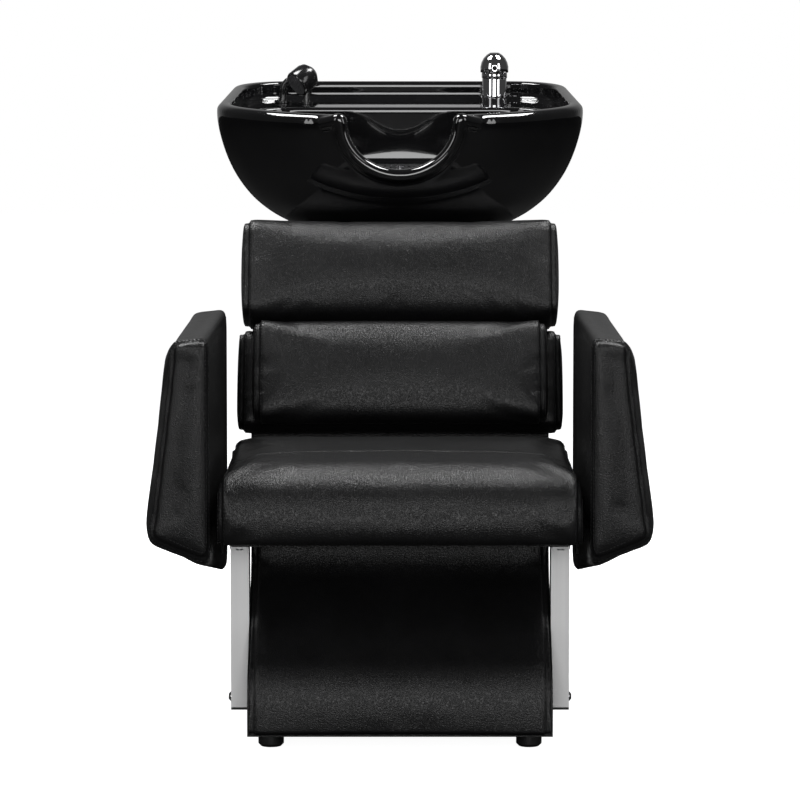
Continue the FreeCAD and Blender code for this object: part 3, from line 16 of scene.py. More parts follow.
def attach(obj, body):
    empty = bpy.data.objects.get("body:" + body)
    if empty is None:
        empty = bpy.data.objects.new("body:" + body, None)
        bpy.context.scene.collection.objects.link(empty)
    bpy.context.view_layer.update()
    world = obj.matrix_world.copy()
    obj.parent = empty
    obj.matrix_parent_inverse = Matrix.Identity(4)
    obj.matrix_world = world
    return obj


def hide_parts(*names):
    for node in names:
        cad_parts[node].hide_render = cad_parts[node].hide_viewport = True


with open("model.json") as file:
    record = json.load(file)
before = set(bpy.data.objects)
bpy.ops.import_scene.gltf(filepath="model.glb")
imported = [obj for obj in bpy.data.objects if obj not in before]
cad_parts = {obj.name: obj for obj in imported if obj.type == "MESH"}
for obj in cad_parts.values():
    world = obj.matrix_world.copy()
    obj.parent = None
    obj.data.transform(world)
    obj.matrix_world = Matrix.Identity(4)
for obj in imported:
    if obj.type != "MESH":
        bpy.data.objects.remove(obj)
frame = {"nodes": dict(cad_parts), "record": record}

LOG = logging.getLogger("backwash")
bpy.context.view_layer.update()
CHAIR = "chair"
BOWL = "bowl"

Loop = list[Vector]
Colour = tuple[float, float, float]
Socket = bpy.types.NodeSocket
Piece = bpy.types.Object
Finish = bpy.types.Material
Table = tuple[tuple[float, ...], ...]
Plane = tuple[Vector, Vector]


def grey(value: float) -> Colour:
    """Return a grey of one value."""
    return value, value, value


class Coat(Enum):
    """How far a finish shines."""

    BARE = 0.0
    LACQUERED = 0.35
    GLAZED = 1.0


class NodeBoard:
    """A material's node tree, wired by short calls."""

    stops = (0.3, 0.7)

    def __init__(self, name: str) -> None:
        """Start a material with one shader.

        Args:
            name: the material's name.
        """
        self.material = bpy.data.materials.new(name)
        self.material.use_nodes = True
        self.tree = self.material.node_tree
        self.shader = self.tree.nodes["Principled BSDF"]

    def add(self, kind: str, **values: object) -> bpy.types.Node:
        """Add a node and set its attributes.

        Args:
            kind: the node's type name.
            values: attributes of the node.

        Returns:
            The new node.
        """
        node = self.tree.nodes.new(kind)
        for key, value in values.items():
            setattr(node, key, value)
        return node

    def join(self, source: Socket, target: Socket) -> None:
        """Link two sockets."""
        self.tree.links.new(source, target)

    def place(self, stretch: Colour = (1.0, 1.0, 1.0)) -> Socket:
        """Return the object's own coordinates in metres, stretched along each axis.

        Args:
            stretch: factors along X, Y and Z.

        Returns:
            The vector socket.
        """
        source = self.add("ShaderNodeTexCoord")
        mapping = self.add("ShaderNodeMapping")
        mapping.inputs["Scale"].default_value = stretch
        self.join(source.outputs["Object"], mapping.inputs["Vector"])
        return mapping.outputs["Vector"]

    def noise(self, place: Socket, scale: float, detail: float = 3.0, rough: float = 0.5,
              twist: float = 0.0) -> Socket:
        """Return a noise field.

        Args:
            place: the coordinates.
            scale: cells per metre.
            detail: octaves.
            rough: weight of the finer octaves.
            twist: distortion.

        Returns:
            The factor socket.
        """
        node = self.add("ShaderNodeTexNoise")
        for key, value in (("Scale", scale), ("Detail", detail), ("Roughness", rough), ("Distortion", twist)):
            node.inputs[key].default_value = value
        self.join(place, node.inputs["Vector"])
        return node.outputs["Fac"]

    def cells(self, place: Socket, scale: float) -> Socket:
        """Return the distance to the edges of a cell pattern.

        Args:
            place: the coordinates.
            scale: cells per metre.

        Returns:
            The distance socket.
        """
        node = self.add("ShaderNodeTexVoronoi", feature="DISTANCE_TO_EDGE")
        node.inputs["Scale"].default_value = scale
        self.join(place, node.inputs["Vector"])
        return node.outputs["Distance"]

    def ramp(self, factor: Socket, low: float, high: float) -> Socket:
        """Return a factor mapped from nought to one onto a range.

        Args:
            factor: the factor socket.
            low: the value at nought.
            high: the value at one.

        Returns:
            The result socket.
        """
        node = self.add("ShaderNodeMapRange")
        node.inputs["To Min"].default_value = low
        node.inputs["To Max"].default_value = high
        self.join(factor, node.inputs["Value"])
        return node.outputs["Result"]

    def tint(self, factor: Socket, low: Colour, high: Colour) -> None:
        """Colour the shader between two colours by a factor.

        Args:
            factor: the factor socket.
            low: the colour at the ramp's low stop.
            high: the colour at its high stop.
        """
        node = self.add("ShaderNodeValToRGB")
        first, last = node.color_ramp.elements
        first.position, last.position = self.stops
        first.color, last.color = (*low, 1.0), (*high, 1.0)
        self.join(factor, node.inputs["Fac"])
        self.join(node.outputs["Color"], self.shader.inputs["Base Color"])

    def rough(self, factor: Socket, low: float, high: float) -> None:
        """Vary the shader's roughness between two values by a factor."""
        self.join(self.ramp(factor, low, high), self.shader.inputs["Roughness"])

    def bump(self, layers: Sequence[tuple[Socket, float]]) -> None:
        """Raise the surface by several height fields, each with its depth in metres.

        Args:
            layers: pairs of a height socket and a depth.
        """
        normal = None
        for height, depth in layers:
            node = self.add("ShaderNodeBump")
            node.inputs["Strength"].default_value = 1.0
            node.inputs["Distance"].default_value = depth
            self.join(height, node.inputs["Height"])
            if normal is not None:
                self.join(normal, node.inputs["Normal"])
            normal = node.outputs["Normal"]
        self.join(normal, self.shader.inputs["Normal"])

    def set(self, **values: float) -> None:
        """Set plain numbers on the shader's own sockets, with underscores for spaces."""
        for key, value in values.items():
            self.shader.inputs[key.replace("_", " ")].default_value = value


@dataclass(frozen=True)
class Hide:
    """Black leatherette with a fine grain, soft broad creases and uneven sheen."""

    name: str
    low: Colour = (0.004, 0.004, 0.0043)
    high: Colour = (0.0075, 0.0075, 0.008)
    grain: float = 430.0
    grain_depth: float = 0.00024
    crease_depth: float = 0.0011
    rough_low: float = 0.3
    rough_high: float = 0.42
    cloud: float = 9.0
    sheen: float = 70.0
    pebble: float = 240.0
    cell_share: float = 2.2

    def make(self) -> Finish:
        """Return the material."""
        board = NodeBoard(self.name)
        place = board.place()
        cloud = board.noise(place, self.cloud, detail=4.0, rough=0.55, twist=0.6)
        board.tint(cloud, self.low, self.high)
        board.rough(board.noise(place, self.sheen), self.rough_low, self.rough_high)
        board.bump([
            (cloud, self.crease_depth), (board.noise(place, self.pebble, detail=2.0), self.grain_depth),
            (board.cells(place, self.grain), self.grain_depth * self.cell_share),
        ])
        board.set(Specular_IOR_Level=0.5)
        return board.material


@dataclass(frozen=True)
class Glaze:
    """Black ceramic glaze with a faint pull in the surface."""

    name: str
    low: Colour = (0.0035, 0.0035, 0.004)
    high: Colour = (0.006, 0.006, 0.0065)
    pull: float = 14.0
    pull_depth: float = 0.00022
    sheen: float = 60.0
    rough_low: float = 0.05
    rough_high: float = 0.09

    def make(self) -> Finish:
        """Return the material."""
        board = NodeBoard(self.name)
        place = board.place()
        pull = board.noise(place, self.pull, detail=2.0)
        board.tint(pull, self.low, self.high)
        board.rough(board.noise(place, self.sheen, detail=2.0), self.rough_low, self.rough_high)
        board.bump([(pull, self.pull_depth)])
        board.set(IOR=1.52, Coat_Weight=Coat.GLAZED.value, Coat_Roughness=0.02)
        return board.material


@dataclass(frozen=True)
class Metal:
    """A metal with a drawn or cloudy surface."""

    name: str
    low: Colour
    high: Colour
    rough_low: float
    rough_high: float
    stretch: Colour = (1.0, 1.0, 1.0)
    grain: float = 300.0
    grains_per_cloud: float = 8.0
    depth: float = 0.00002

    def make(self) -> Finish:
        """Return the material."""
        board = NodeBoard(self.name)
        place = board.place(self.stretch)
        drawn = board.noise(place, self.grain)
        board.tint(board.noise(place, self.grain / self.grains_per_cloud), self.low, self.high)
        board.rough(drawn, self.rough_low, self.rough_high)
        board.bump([(drawn, self.depth)])
        board.set(Metallic=1.0)
        return board.material


@dataclass(frozen=True)
class Moulding:
    """Moulded plastic or rubber with a fine texture."""

    name: str
    low: Colour
    high: Colour
    rough_low: float
    rough_high: float
    coat: Coat = Coat.BARE
    grain: float = 900.0
    cloud: float = 40.0
    depth: float = 0.00006

    def make(self) -> Finish:
        """Return the material."""
        board = NodeBoard(self.name)
        place = board.place()
        fine = board.noise(place, self.grain, detail=2.0)
        board.tint(board.noise(place, self.cloud), self.low, self.high)
        board.rough(fine, self.rough_low, self.rough_high)
        board.bump([(fine, self.depth)])
        board.set(Coat_Weight=self.coat.value, Coat_Roughness=0.06)
        return board.material


@dataclass(frozen=True)
class Timber:
    """Plain plywood with drawn-out grain."""

    name: str
    low: Colour = (0.36, 0.22, 0.11)
    high: Colour = (0.55, 0.38, 0.22)
    stretch: Colour = (9.0, 1.0, 9.0)
    grain: float = 14.0
    depth: float = 0.0002
    rough_low: float = 0.55
    rough_high: float = 0.75

    def make(self) -> Finish:
        """Return the material."""
        board = NodeBoard(self.name)
        grain = board.noise(board.place(self.stretch), self.grain, detail=6.0, rough=0.6, twist=1.4)
        board.tint(grain, self.low, self.high)
        board.rough(grain, self.rough_low, self.rough_high)
        board.bump([(grain, self.depth)])
        return board.material


class Palette:
    """Every finish of the unit, made once and kept under the record's slots."""

    def __init__(self) -> None:
        """Make the materials."""
        gloss = Moulding(
            "GlossMoulding", (0.006, 0.006, 0.0065), (0.011, 0.011, 0.0115), 0.14, 0.24,
            Coat.LACQUERED).make()
        self.thread = Moulding(
            "BlackThread", (0.016, 0.016, 0.017), (0.03, 0.03, 0.031), 0.5, 0.7, grain=2500.0).make()
        self.slots: dict[str, Finish] = {
            "upholstery": Hide("BlackLeatherette").make(),
            "black_panel": Hide("PanelLeatherette", grain=520.0, crease_depth=0.0005).make(),
            "glaze": Glaze("BlackGlaze").make(),
            "chrome": Metal("Chrome", (0.74, 0.74, 0.76), (0.82, 0.82, 0.84), 0.03, 0.07, grain=90.0).make(),
            "satin_steel": Metal(
                "SatinTube", grey(0.9), grey(0.96), 0.5, 0.6, (60.0, 60.0, 1.0), 12.0).make(),
            "strainer_steel": Metal(
                "StrainerSteel", (0.36, 0.36, 0.37), (0.46, 0.46, 0.47), 0.22, 0.34).make(),
            "zinc": Metal("ZincPlate", (0.5, 0.51, 0.53), grey(0.6), 0.28, 0.42).make(),
            "brass": Metal("TurnedBrass", (0.6, 0.42, 0.18), (0.72, 0.54, 0.27), 0.2, 0.34).make(),
            "black_steel": Moulding("BlackPowderCoat", grey(0.016), grey(0.024), 0.42, 0.56).make(),
            "black_plastic": Moulding("BlackMoulding", grey(0.012), grey(0.02), 0.4, 0.55).make(),
            "black_gloss": gloss,
            "index_plastic": gloss,
            "grey_plastic": Moulding(
                "GreyMoulding", (0.05, 0.05, 0.052), (0.09, 0.09, 0.095), 0.35, 0.5).make(),
            "rubber": Moulding("BlackRubber", grey(0.012), grey(0.022), 0.6, 0.8).make(),
            "plywood": Timber("Plywood").make(),
        }


class MeshBench:
    """Mesh work that the sub-assemblies share."""

    @staticmethod
    def object_of(name: str, mesh: bpy.types.Mesh) -> Piece:
        """Return a new object in the scene for a mesh."""
        obj = bpy.data.objects.new(name, mesh)
        bpy.context.scene.collection.objects.link(obj)
        return obj

    @staticmethod
    def settle(obj: Piece) -> Piece:
        """Apply an object's modifiers to its mesh.

        Args:
            obj: the object.

        Returns:
            The same object, with the result as its mesh and no modifiers.
        """
        graph = bpy.context.evaluated_depsgraph_get()
        graph.update()
        mesh = bpy.data.meshes.new_from_object(obj.evaluated_get(graph))
        obj.modifiers.clear()
        old = obj.data
        obj.data = mesh
        bpy.data.meshes.remove(old)
        return obj

    @classmethod
    def shape(cls, obj: Piece, kind: str, **values: object) -> Piece:
        """Work an object's mesh by one modifier.

        Args:
            obj: the object.
            kind: the modifier's type name.
            values: attributes of the modifier.

        Returns:
            The worked object.
        """
        modifier = obj.modifiers.new(kind.title(), kind)
        for key, value in values.items():
            setattr(modifier, key, value)
        return cls.settle(obj)

    @classmethod
    def remesh(cls, obj: Piece, voxel: float) -> Piece:
        """Rebuild an object's mesh in even quads of one size."""
        return cls.shape(obj, "REMESH", mode="VOXEL", voxel_size=voxel)

    @classmethod
    def smooth(cls, obj: Piece, turns: int) -> Piece:
        """Relax an object's mesh a number of times."""
        return cls.shape(obj, "SMOOTH", iterations=turns, factor=0.5)

    @classmethod
    def subdivide(cls, obj: Piece) -> Piece:
        """Divide and round an object's mesh once."""
        return cls.shape(obj, "SUBSURF", levels=1, render_levels=1)

    @classmethod
    def cut(cls, obj: Piece, tool: Piece) -> Piece:
        """Cut a tool object out of an object, and remove the tool."""
        cls.shape(obj, "BOOLEAN", operation="DIFFERENCE", solver="EXACT", object=tool)
        cls.discard(tool)
        return obj

    @staticmethod
    def discard(obj: Piece) -> None:
        """Remove an object and its mesh."""
        mesh = obj.data
        bpy.data.objects.remove(obj)
        bpy.data.meshes.remove(mesh)

    @classmethod
    def add(cls, obj: Piece, extra: Piece) -> Piece:
        """Put another object's mesh into an object, and remove the other object.

        Args:
            obj: the object that grows.
            extra: the object that is taken up.

        Returns:
            The grown object.
        """
        work = bmesh.new()
        work.from_mesh(obj.data)
        work.from_mesh(extra.data)
        work.to_mesh(obj.data)
        work.free()
        cls.discard(extra)
        return obj

    @staticmethod
    def ring(middle: Vector, side: Vector, up: Vector, radius: float, count: int) -> Loop:
        """Return points on a circle.

        Args:
            middle: its centre.
            side: its first direction.
            up: its second direction.
            radius: its radius.
            count: how many points.

        Returns:
            The points in order.
        """
        turns = (2 * math.pi * step / count for step in range(count))
        return [middle + (side * math.cos(turn) + up * math.sin(turn)) * radius for turn in turns]

    @staticmethod
    def skin(work: bmesh.types.BMesh, rings: Sequence[Loop]) -> None:
        """Add a closed skin through rings of equal length, capped at both ends."""
        rows = [[work.verts.new(point) for point in ring] for ring in rings]
        count = len(rows[0])
        for lower, upper in zip(rows, rows[1:]):
            for index in range(count):
                after = (index + 1) % count
                work.faces.new((lower[index], lower[after], upper[after], upper[index]))
        work.faces.new(list(reversed(rows[0])))
        work.faces.new(rows[-1])

    @classmethod
    def loft(cls, name: str, rings: Sequence[Loop]) -> Piece:
        """Return a closed form through rings of equal length."""
        mesh = bpy.data.meshes.new(name)
        work = bmesh.new()
        cls.skin(work, rings)
        bmesh.ops.recalc_face_normals(work, faces=work.faces)
        work.to_mesh(mesh)
        work.free()
        return cls.object_of(name, mesh)

    @classmethod
    def block(cls, name: str, low: Vector, high: Vector) -> Piece:
        """Return a plain block, used only as a cutting tool."""
        ring = [Vector((low.x, low.y, 0)), Vector((high.x, low.y, 0)), Vector((high.x, high.y, 0)),
                Vector((low.x, high.y, 0))]
        rings = [[Vector((point.x, point.y, level)) for point in ring] for level in (low.z, high.z)]
        return cls.loft(name, rings)

    @classmethod
    def tube(cls, name: str, path: Sequence[Vector], radius: float, sides: int) -> Piece:
        """Return a round tube along a path.

        Args:
            name: the object's name.
            path: points along the middle.
            radius: the tube's radius.
            sides: faces round the tube.

        Returns:
            The tube.
        """
        rings = []
        side = None
        for index, point in enumerate(path):
            along = (path[min(index + 1, len(path) - 1)] - path[max(index - 1, 0)]).normalized()
            if side is None:
                side = along.orthogonal().normalized()
            side = (side - along * side.dot(along)).normalized()
            rings.append(cls.ring(point, side, along.cross(side), radius, sides))
        return cls.loft(name, rings)

    @staticmethod
    def section(mesh: bpy.types.Mesh, point: Vector, normal: Vector) -> Loop:
        """Return the longest loop where a plane meets a mesh.

        Args:
            mesh: the mesh.
            point: a point of the plane.
            normal: the plane's normal.

        Returns:
            The loop's points in order.
        """
        work = bmesh.new()
        work.from_mesh(mesh)
        cut = bmesh.ops.bisect_plane(
            work, geom=[*work.verts, *work.edges, *work.faces], plane_co=point, plane_no=normal)
        links: dict[bmesh.types.BMVert, list[bmesh.types.BMVert]] = {}
        for item in cut["geom_cut"]:
            if isinstance(item, bmesh.types.BMEdge):
                first, second = item.verts
                links.setdefault(first, []).append(second)
                links.setdefault(second, []).append(first)
        best: Loop = []
        seen: set[bmesh.types.BMVert] = set()
        for start in links:
            if start in seen:
                continue
            loop = [start]
            seen.add(start)
            while True:
                ahead = next((vert for vert in links[loop[-1]] if vert not in seen), None)
                if ahead is None:
                    break
                seen.add(ahead)
                loop.append(ahead)
            if len(loop) > len(best):
                best = [vert.co.copy() for vert in loop]
        work.free()
        return best

    @staticmethod
    def evened(loop: Loop, step: float) -> Loop:
        """Return a closed loop's points at an even step."""
        points = loop + loop[:1]
        spaced: Loop = []
        carry = 0.0
        for first, second in zip(points, points[1:]):
            length = (second - first).length
            while carry < length:
                spaced.append(first.lerp(second, carry / length))
                carry += step
            carry -= length
        return spaced

    @staticmethod
    def groove(obj: Piece, loop: Loop, width: float, depth: float) -> None:
        """Press a seam into a mesh along a loop.

        Args:
            obj: the piece.
            loop: points along the seam.
            width: half width of the groove.
            depth: its depth.
        """
        tree = KDTree(len(loop))
        for index, point in enumerate(loop):
            tree.insert(point, index)
        tree.balance()
        mesh = obj.data
        moves = []
        for vert in mesh.vertices:
            away = tree.find(vert.co)[2]
            if away < width:
                share = 1.0 - (away / width) ** 2
                moves.append((vert.index, vert.normal.copy() * (-depth * share * share)))
        for index, move in moves:
            mesh.vertices[index].co += move
        mesh.update()


@dataclass
class Stitching:
    """A row of sewing thread laid on a piece."""

    pitch: float = 0.0052
    length: float = 0.0036
    radius: float = 0.00045
    sides: int = 6
    lift_share: float = 0.35
    full_share: float = 0.95
    profile_shares: Table = ((-0.5, 0.45), (-0.28, 0.95), (0.28, 0.95), (0.5, 0.45))

    def sew(self, name: str, obj: Piece, loops: Iterable[Loop]) -> Piece:
        """Lay stitches along loops on an object.

        Args:
            name: the new piece's name.
            obj: the piece that is sewn.
            loops: the rows' points.

        Returns:
            One object of all the stitches.
        """
        tree = BVHTree.FromPolygons(
            [vert.co for vert in obj.data.vertices], [poly.vertices for poly in obj.data.polygons])
        work = bmesh.new()
        for loop in loops:
            points = MeshBench.evened(loop, self.pitch)
            for point, ahead in zip(points, points[1:] + points[:1]):
                spot, normal, _, _ = tree.find_nearest(point)
                along = ahead - point
                along = (along - normal * along.dot(normal)).normalized()
                self._stitch(work, spot + normal * self.radius * self.lift_share, along, normal)
        mesh = bpy.data.meshes.new(name)
        work.to_mesh(mesh)
        work.free()
        mesh.shade_smooth()
        return MeshBench.object_of(name, mesh)

    def _stitch(self, work: bmesh.types.BMesh, spot: Vector, along: Vector, normal: Vector) -> None:
        """Add one stitch, thick in the middle and tucked in at its ends."""
        side = along.cross(normal)
        rings = []
        for share, swell in self.profile_shares:
            middle = spot + along * (share * self.length) - normal * (self.radius * (self.full_share - swell))
            rings.append(MeshBench.ring(middle, side, normal, self.radius * swell, self.sides))
        MeshBench.skin(work, rings)


@dataclass
class Pad:
    """A foam pad under leatherette, filled by a short cloth simulation."""

    node: str
    title: str
    voxel: float = 0.007
    pressure: float = 4.0
    cap: float = 0.006
    shrink: float = 0.001
    give: float = 0.5
    roll: float = 0.0
    fill: float = 0.85
    base_axis: Vector = Vector((0.0, 0.0, 1.0))
    base_depth: float = 0.006
    seam_width: float = 0.0055
    seam_depth: float = 0.0028
    stitch_offset: float = 0.0046
    seam_step: float = 0.0015
    frames: int = 20
    quality: int = 4
    mass: float = 0.35
    stiffness: float = 25.0
    bending: float = 2.0

    def form(self) -> Piece:
        """Return the pad's starting form, a copy of the frame's solid."""
        return MeshBench.object_of(self.title, frame["nodes"][self.node].data.copy())

    def build(self) -> Piece:
        """Return the filled pad, rounded and smooth."""
        obj = MeshBench.remesh(self.form(), self.voxel)
        if self.roll:
            self._roll_front(obj)
        MeshBench.smooth(obj, 1)
        rest = [vert.co.copy() for vert in obj.data.vertices]
        self._fill(obj, rest)
        MeshBench.smooth(obj, 1)
        MeshBench.subdivide(obj)
        obj.data.shade_smooth()
        return obj

    def _roll_front(self, obj: Piece) -> None:
        """Round the front edge at the top into a roll.

        Args:
            obj: the pad.
        """
        verts = obj.data.vertices
        front = min(vert.co.y for vert in verts) + self.roll
        top = max(vert.co.z for vert in verts if vert.co.y < front) - self.roll
        for vert in verts:
            ahead, up = front - vert.co.y, vert.co.z - top
            reach = math.hypot(ahead, up)
            if ahead > 0.0 and up > 0.0 and reach > self.roll:
                vert.co.y = front - ahead * self.roll / reach
                vert.co.z = top + up * self.roll / reach
        obj.data.update()

    def _fill(self, obj: Piece, rest: Loop) -> None:
        """Swell the pad by air pressure and hold each point near its rest place.

        Args:
            obj: the pad.
            rest: the points' places before.
        """
        mesh = obj.data
        lowest = min(point.dot(self.base_axis) for point in rest)
        held = [index for index, point in enumerate(rest)
                if point.dot(self.base_axis) < lowest + self.base_depth]
        for vert in mesh.vertices:
            vert.co -= vert.normal * self.shrink
        group = obj.vertex_groups.new(name="Held")
        group.add(held, 1.0, "REPLACE")
        cloth = obj.modifiers.new("Fill", "CLOTH")
        cloth.settings.quality = self.quality
        cloth.settings.mass = self.mass
        cloth.settings.tension_stiffness = self.stiffness
        cloth.settings.compression_stiffness = self.stiffness
        cloth.settings.bending_stiffness = self.bending
        cloth.settings.use_pressure = True
        cloth.settings.uniform_pressure_force = self.pressure
        cloth.settings.vertex_group_mass = "Held"
        cloth.settings.effector_weights.gravity = 0.0
        cloth.collision_settings.use_collision = False
        cloth.point_cache.frame_start = 1
        cloth.point_cache.frame_end = self.frames
        scene = bpy.context.scene
        for step in range(1, self.frames + 1):
            scene.frame_set(step)
        MeshBench.settle(obj)
        scene.frame_set(1)
        for vert, place in zip(obj.data.vertices, rest):
            move = (vert.co - place) * self.give
            if move.length > self.cap:
                move = move.normalized() * self.cap
            vert.co = place + move
        obj.vertex_groups.clear()
        obj.data.update()

    def seams(self, obj: Piece, planes: Sequence[Plane],
              sewn: bool = True) -> Piece | None:
        """Press seams into the pad where planes meet it, and sew a row of thread each side.

        Args:
            obj: the pad.
            planes: pairs of a point and a normal.
            sewn: whether thread shows beside the seams.

        Returns:
            The stitching, or None.
        """
        loops = [MeshBench.section(obj.data, point, normal) for point, normal in planes]
        for loop in loops:
            MeshBench.groove(obj, MeshBench.evened(loop, self.seam_step), self.seam_width, self.seam_depth)
        if not sewn:
            return None
        rows = [
            MeshBench.section(obj.data, point + normal * (side * self.stitch_offset), normal)
            for point, normal in planes for side in (-1, 1)
        ]
        return Stitching().sew(self.title + "Stitching", obj, rows)


@dataclass
class ArmPad(Pad):
    """An arm's padded form, wrapped round its board."""

    side: int = 1
    inner: float = 0.2596
    top: float = 0.585
    front: float = -0.55
    back: float = 0.0
    front_bottom: float = 0.284
    back_bottom: float = 0.198
    top_width: float = 0.0534
    flare: float = 0.119
    corners: tuple[float, float, float, float] = (0.016, 0.036, 0.04, 0.03)
    inner_edge: float = 0.007
    outer_edge: float = 0.013
    edge_steps: int = 4
    bottom_slope: float = 0.34
    slope_power: int = 4
    seam_inset: float = 0.008

    def outer(self, level: float) -> float:
        """Return how far out the arm reaches at a height."""
        return self.inner + self.top_width + self.flare * (self.top - level)

    def outline(self, inset: float, steps: int = 8) -> Loop:
        """Return the arm's side outline with round corners, flat in X.

        Args:
            inset: how far inside the full outline.
            steps: points round each corner.

        Returns:
            The outline's points.
        """
        corners = [Vector((0, self.front, self.top)), Vector((0, self.back, self.top)),
                   Vector((0, self.back, self.back_bottom)), Vector((0, self.front, self.front_bottom))]
        points: Loop = []
        for index, here in enumerate(corners):
            before = (corners[index - 1] - here).normalized()
            after = (corners[(index + 1) % len(corners)] - here).normalized()
            half = before.angle(after) / 2
            radius = self.corners[index] - inset
            middle = here + (before + after).normalized() * (self.corners[index] / math.sin(half))
            first = self._edge_normal(before, middle, here)
            last = self._edge_normal(after, middle, here)
            turn = first.angle(last)
            for step in range(steps + 1):
                share = step / steps
                blend = first * math.sin(turn * (1 - share)) + last * math.sin(turn * share)
                points.append(middle + blend / math.sin(turn) * radius)
        return points

    @staticmethod
    def _edge_normal(along: Vector, middle: Vector, corner: Vector) -> Vector:
        """Return the outward normal of the edge that leaves a corner along a direction."""
        out = corner - middle
        return (out - along * out.dot(along)).normalized()

    def form(self) -> Piece:
        """Return the arm's starting form."""
        turns = [math.pi / 2 * step / self.edge_steps for step in range(self.edge_steps + 1)]
        rings = []
        for turn in turns:
            outline = self.outline(self.inner_edge * (1 - math.sin(turn)))
            out = self.inner + self.inner_edge * (1 - math.cos(turn))
            rings.append([Vector((out, p.y, p.z)) for p in outline])
        for turn in reversed(turns):
            outline = self.outline(self.outer_edge * (1 - math.sin(turn)))
            sink = self.outer_edge * (1 - math.cos(turn))
            rings.append([Vector((self.outer(p.z) - sink, p.y, p.z)) for p in outline])
        rings = [[Vector((p.x * self.side, p.y, p.z + self._slope(p))) for p in ring] for ring in rings]
        return MeshBench.loft(self.title, rings)

    def _slope(self, point: Vector) -> float:
        """Return how far a point of the lower edge moves, down at the inner side and up at the outer side."""
        share = (point.y - self.front) / (self.back - self.front)
        lowest = self.front_bottom + share * (self.back_bottom - self.front_bottom)
        low = max(0.0, min(1.0, (self.top - point.z) / (self.top - lowest)))
        middle = (self.inner + self.outer(lowest)) / 2
        return low ** self.slope_power * self.bottom_slope * (point.x - middle)

    def planes(self) -> list[Plane]:
        """Return the plane of the seam that runs round the front panel."""
        return [(Vector((0, self.front + self.seam_inset, 0)), Vector((0, 1, 0)))]


class Upholstery:
    """All padded pieces of the chair and the base."""

    recline = math.radians(24.0)
    seat_seam = -0.4
    fine = 0.0065

    def __init__(self, palette: Palette) -> None:
        """Keep the finishes."""
        self.palette = palette

    def build(self) -> None:
        """Make, sew and dress every pad."""
        lean = Vector((0.0, math.cos(self.recline), -math.sin(self.recline)))
        self._cushion(Pad("seat_cushion", "SeatCushion", base_axis=Vector((0, 0, 1)), cap=0.007, roll=0.058),
                      sides=0.2445, across=[(self.seat_seam, Vector((0, 1, 0)))])
        self._cushion(Pad("upper_back_cushion", "UpperBackCushion", base_axis=-lean, voxel=self.fine),
                      sides=0.228)
        self._cushion(Pad("lower_back_cushion", "LowerBackCushion", base_axis=-lean, voxel=self.fine,
                          cap=0.004), sides=0.235)
        self._cushion(Pad("lumbar_pad", "LumbarPad", base_axis=-lean, voxel=self.fine), sides=0.2095)
        self._cushion(Pad("base_front_cover", "BaseFrontCover", base_axis=Vector((0, -1, 0)), voxel=0.006,
                          cap=0.003, fill=0.7), sides=0.2045)
        for side, word, name in ((-1, "left", "Left"), (1, "right", "Right")):
            pad = ArmPad(
                f"arm_pad_{word}", f"ArmPad{name}", side=side, base_axis=Vector((side, 0, 0)), cap=0.005)
            obj = pad.build()
            self._dress(pad, obj, pad.seams(obj, pad.planes()))

    def _cushion(self, pad: Pad, sides: float, across: Sequence[tuple[float, Vector]] = ()) -> None:
        """Make one cushion with a seam near each side.

        Args:
            pad: the cushion.
            sides: how far the side seams are from the middle.
            across: further seams, each a distance along a normal.
        """
        obj = pad.build()
        planes = [(Vector((sign * sides, 0, 0)), Vector((1, 0, 0))) for sign in (-1, 1)]
        thread = pad.seams(obj, planes)
        for reach, normal in across:
            pad.seams(obj, [(normal * reach, normal)], sewn=False)
        self._dress(pad, obj, thread)

    def _dress(self, pad: Pad, obj: Piece, thread: Piece | None) -> None:
        """Give a pad and its thread their finishes and places in the frame."""
        obj.data.materials.clear()
        obj.data.materials.append(self.palette.slots["upholstery"])
        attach(obj, CHAIR)
        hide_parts(pad.node)
        if thread is not None:
            thread.data.materials.append(self.palette.thread)
            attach(thread, CHAIR)
        LOG.info("%s: %d points", pad.title, len(obj.data.vertices))


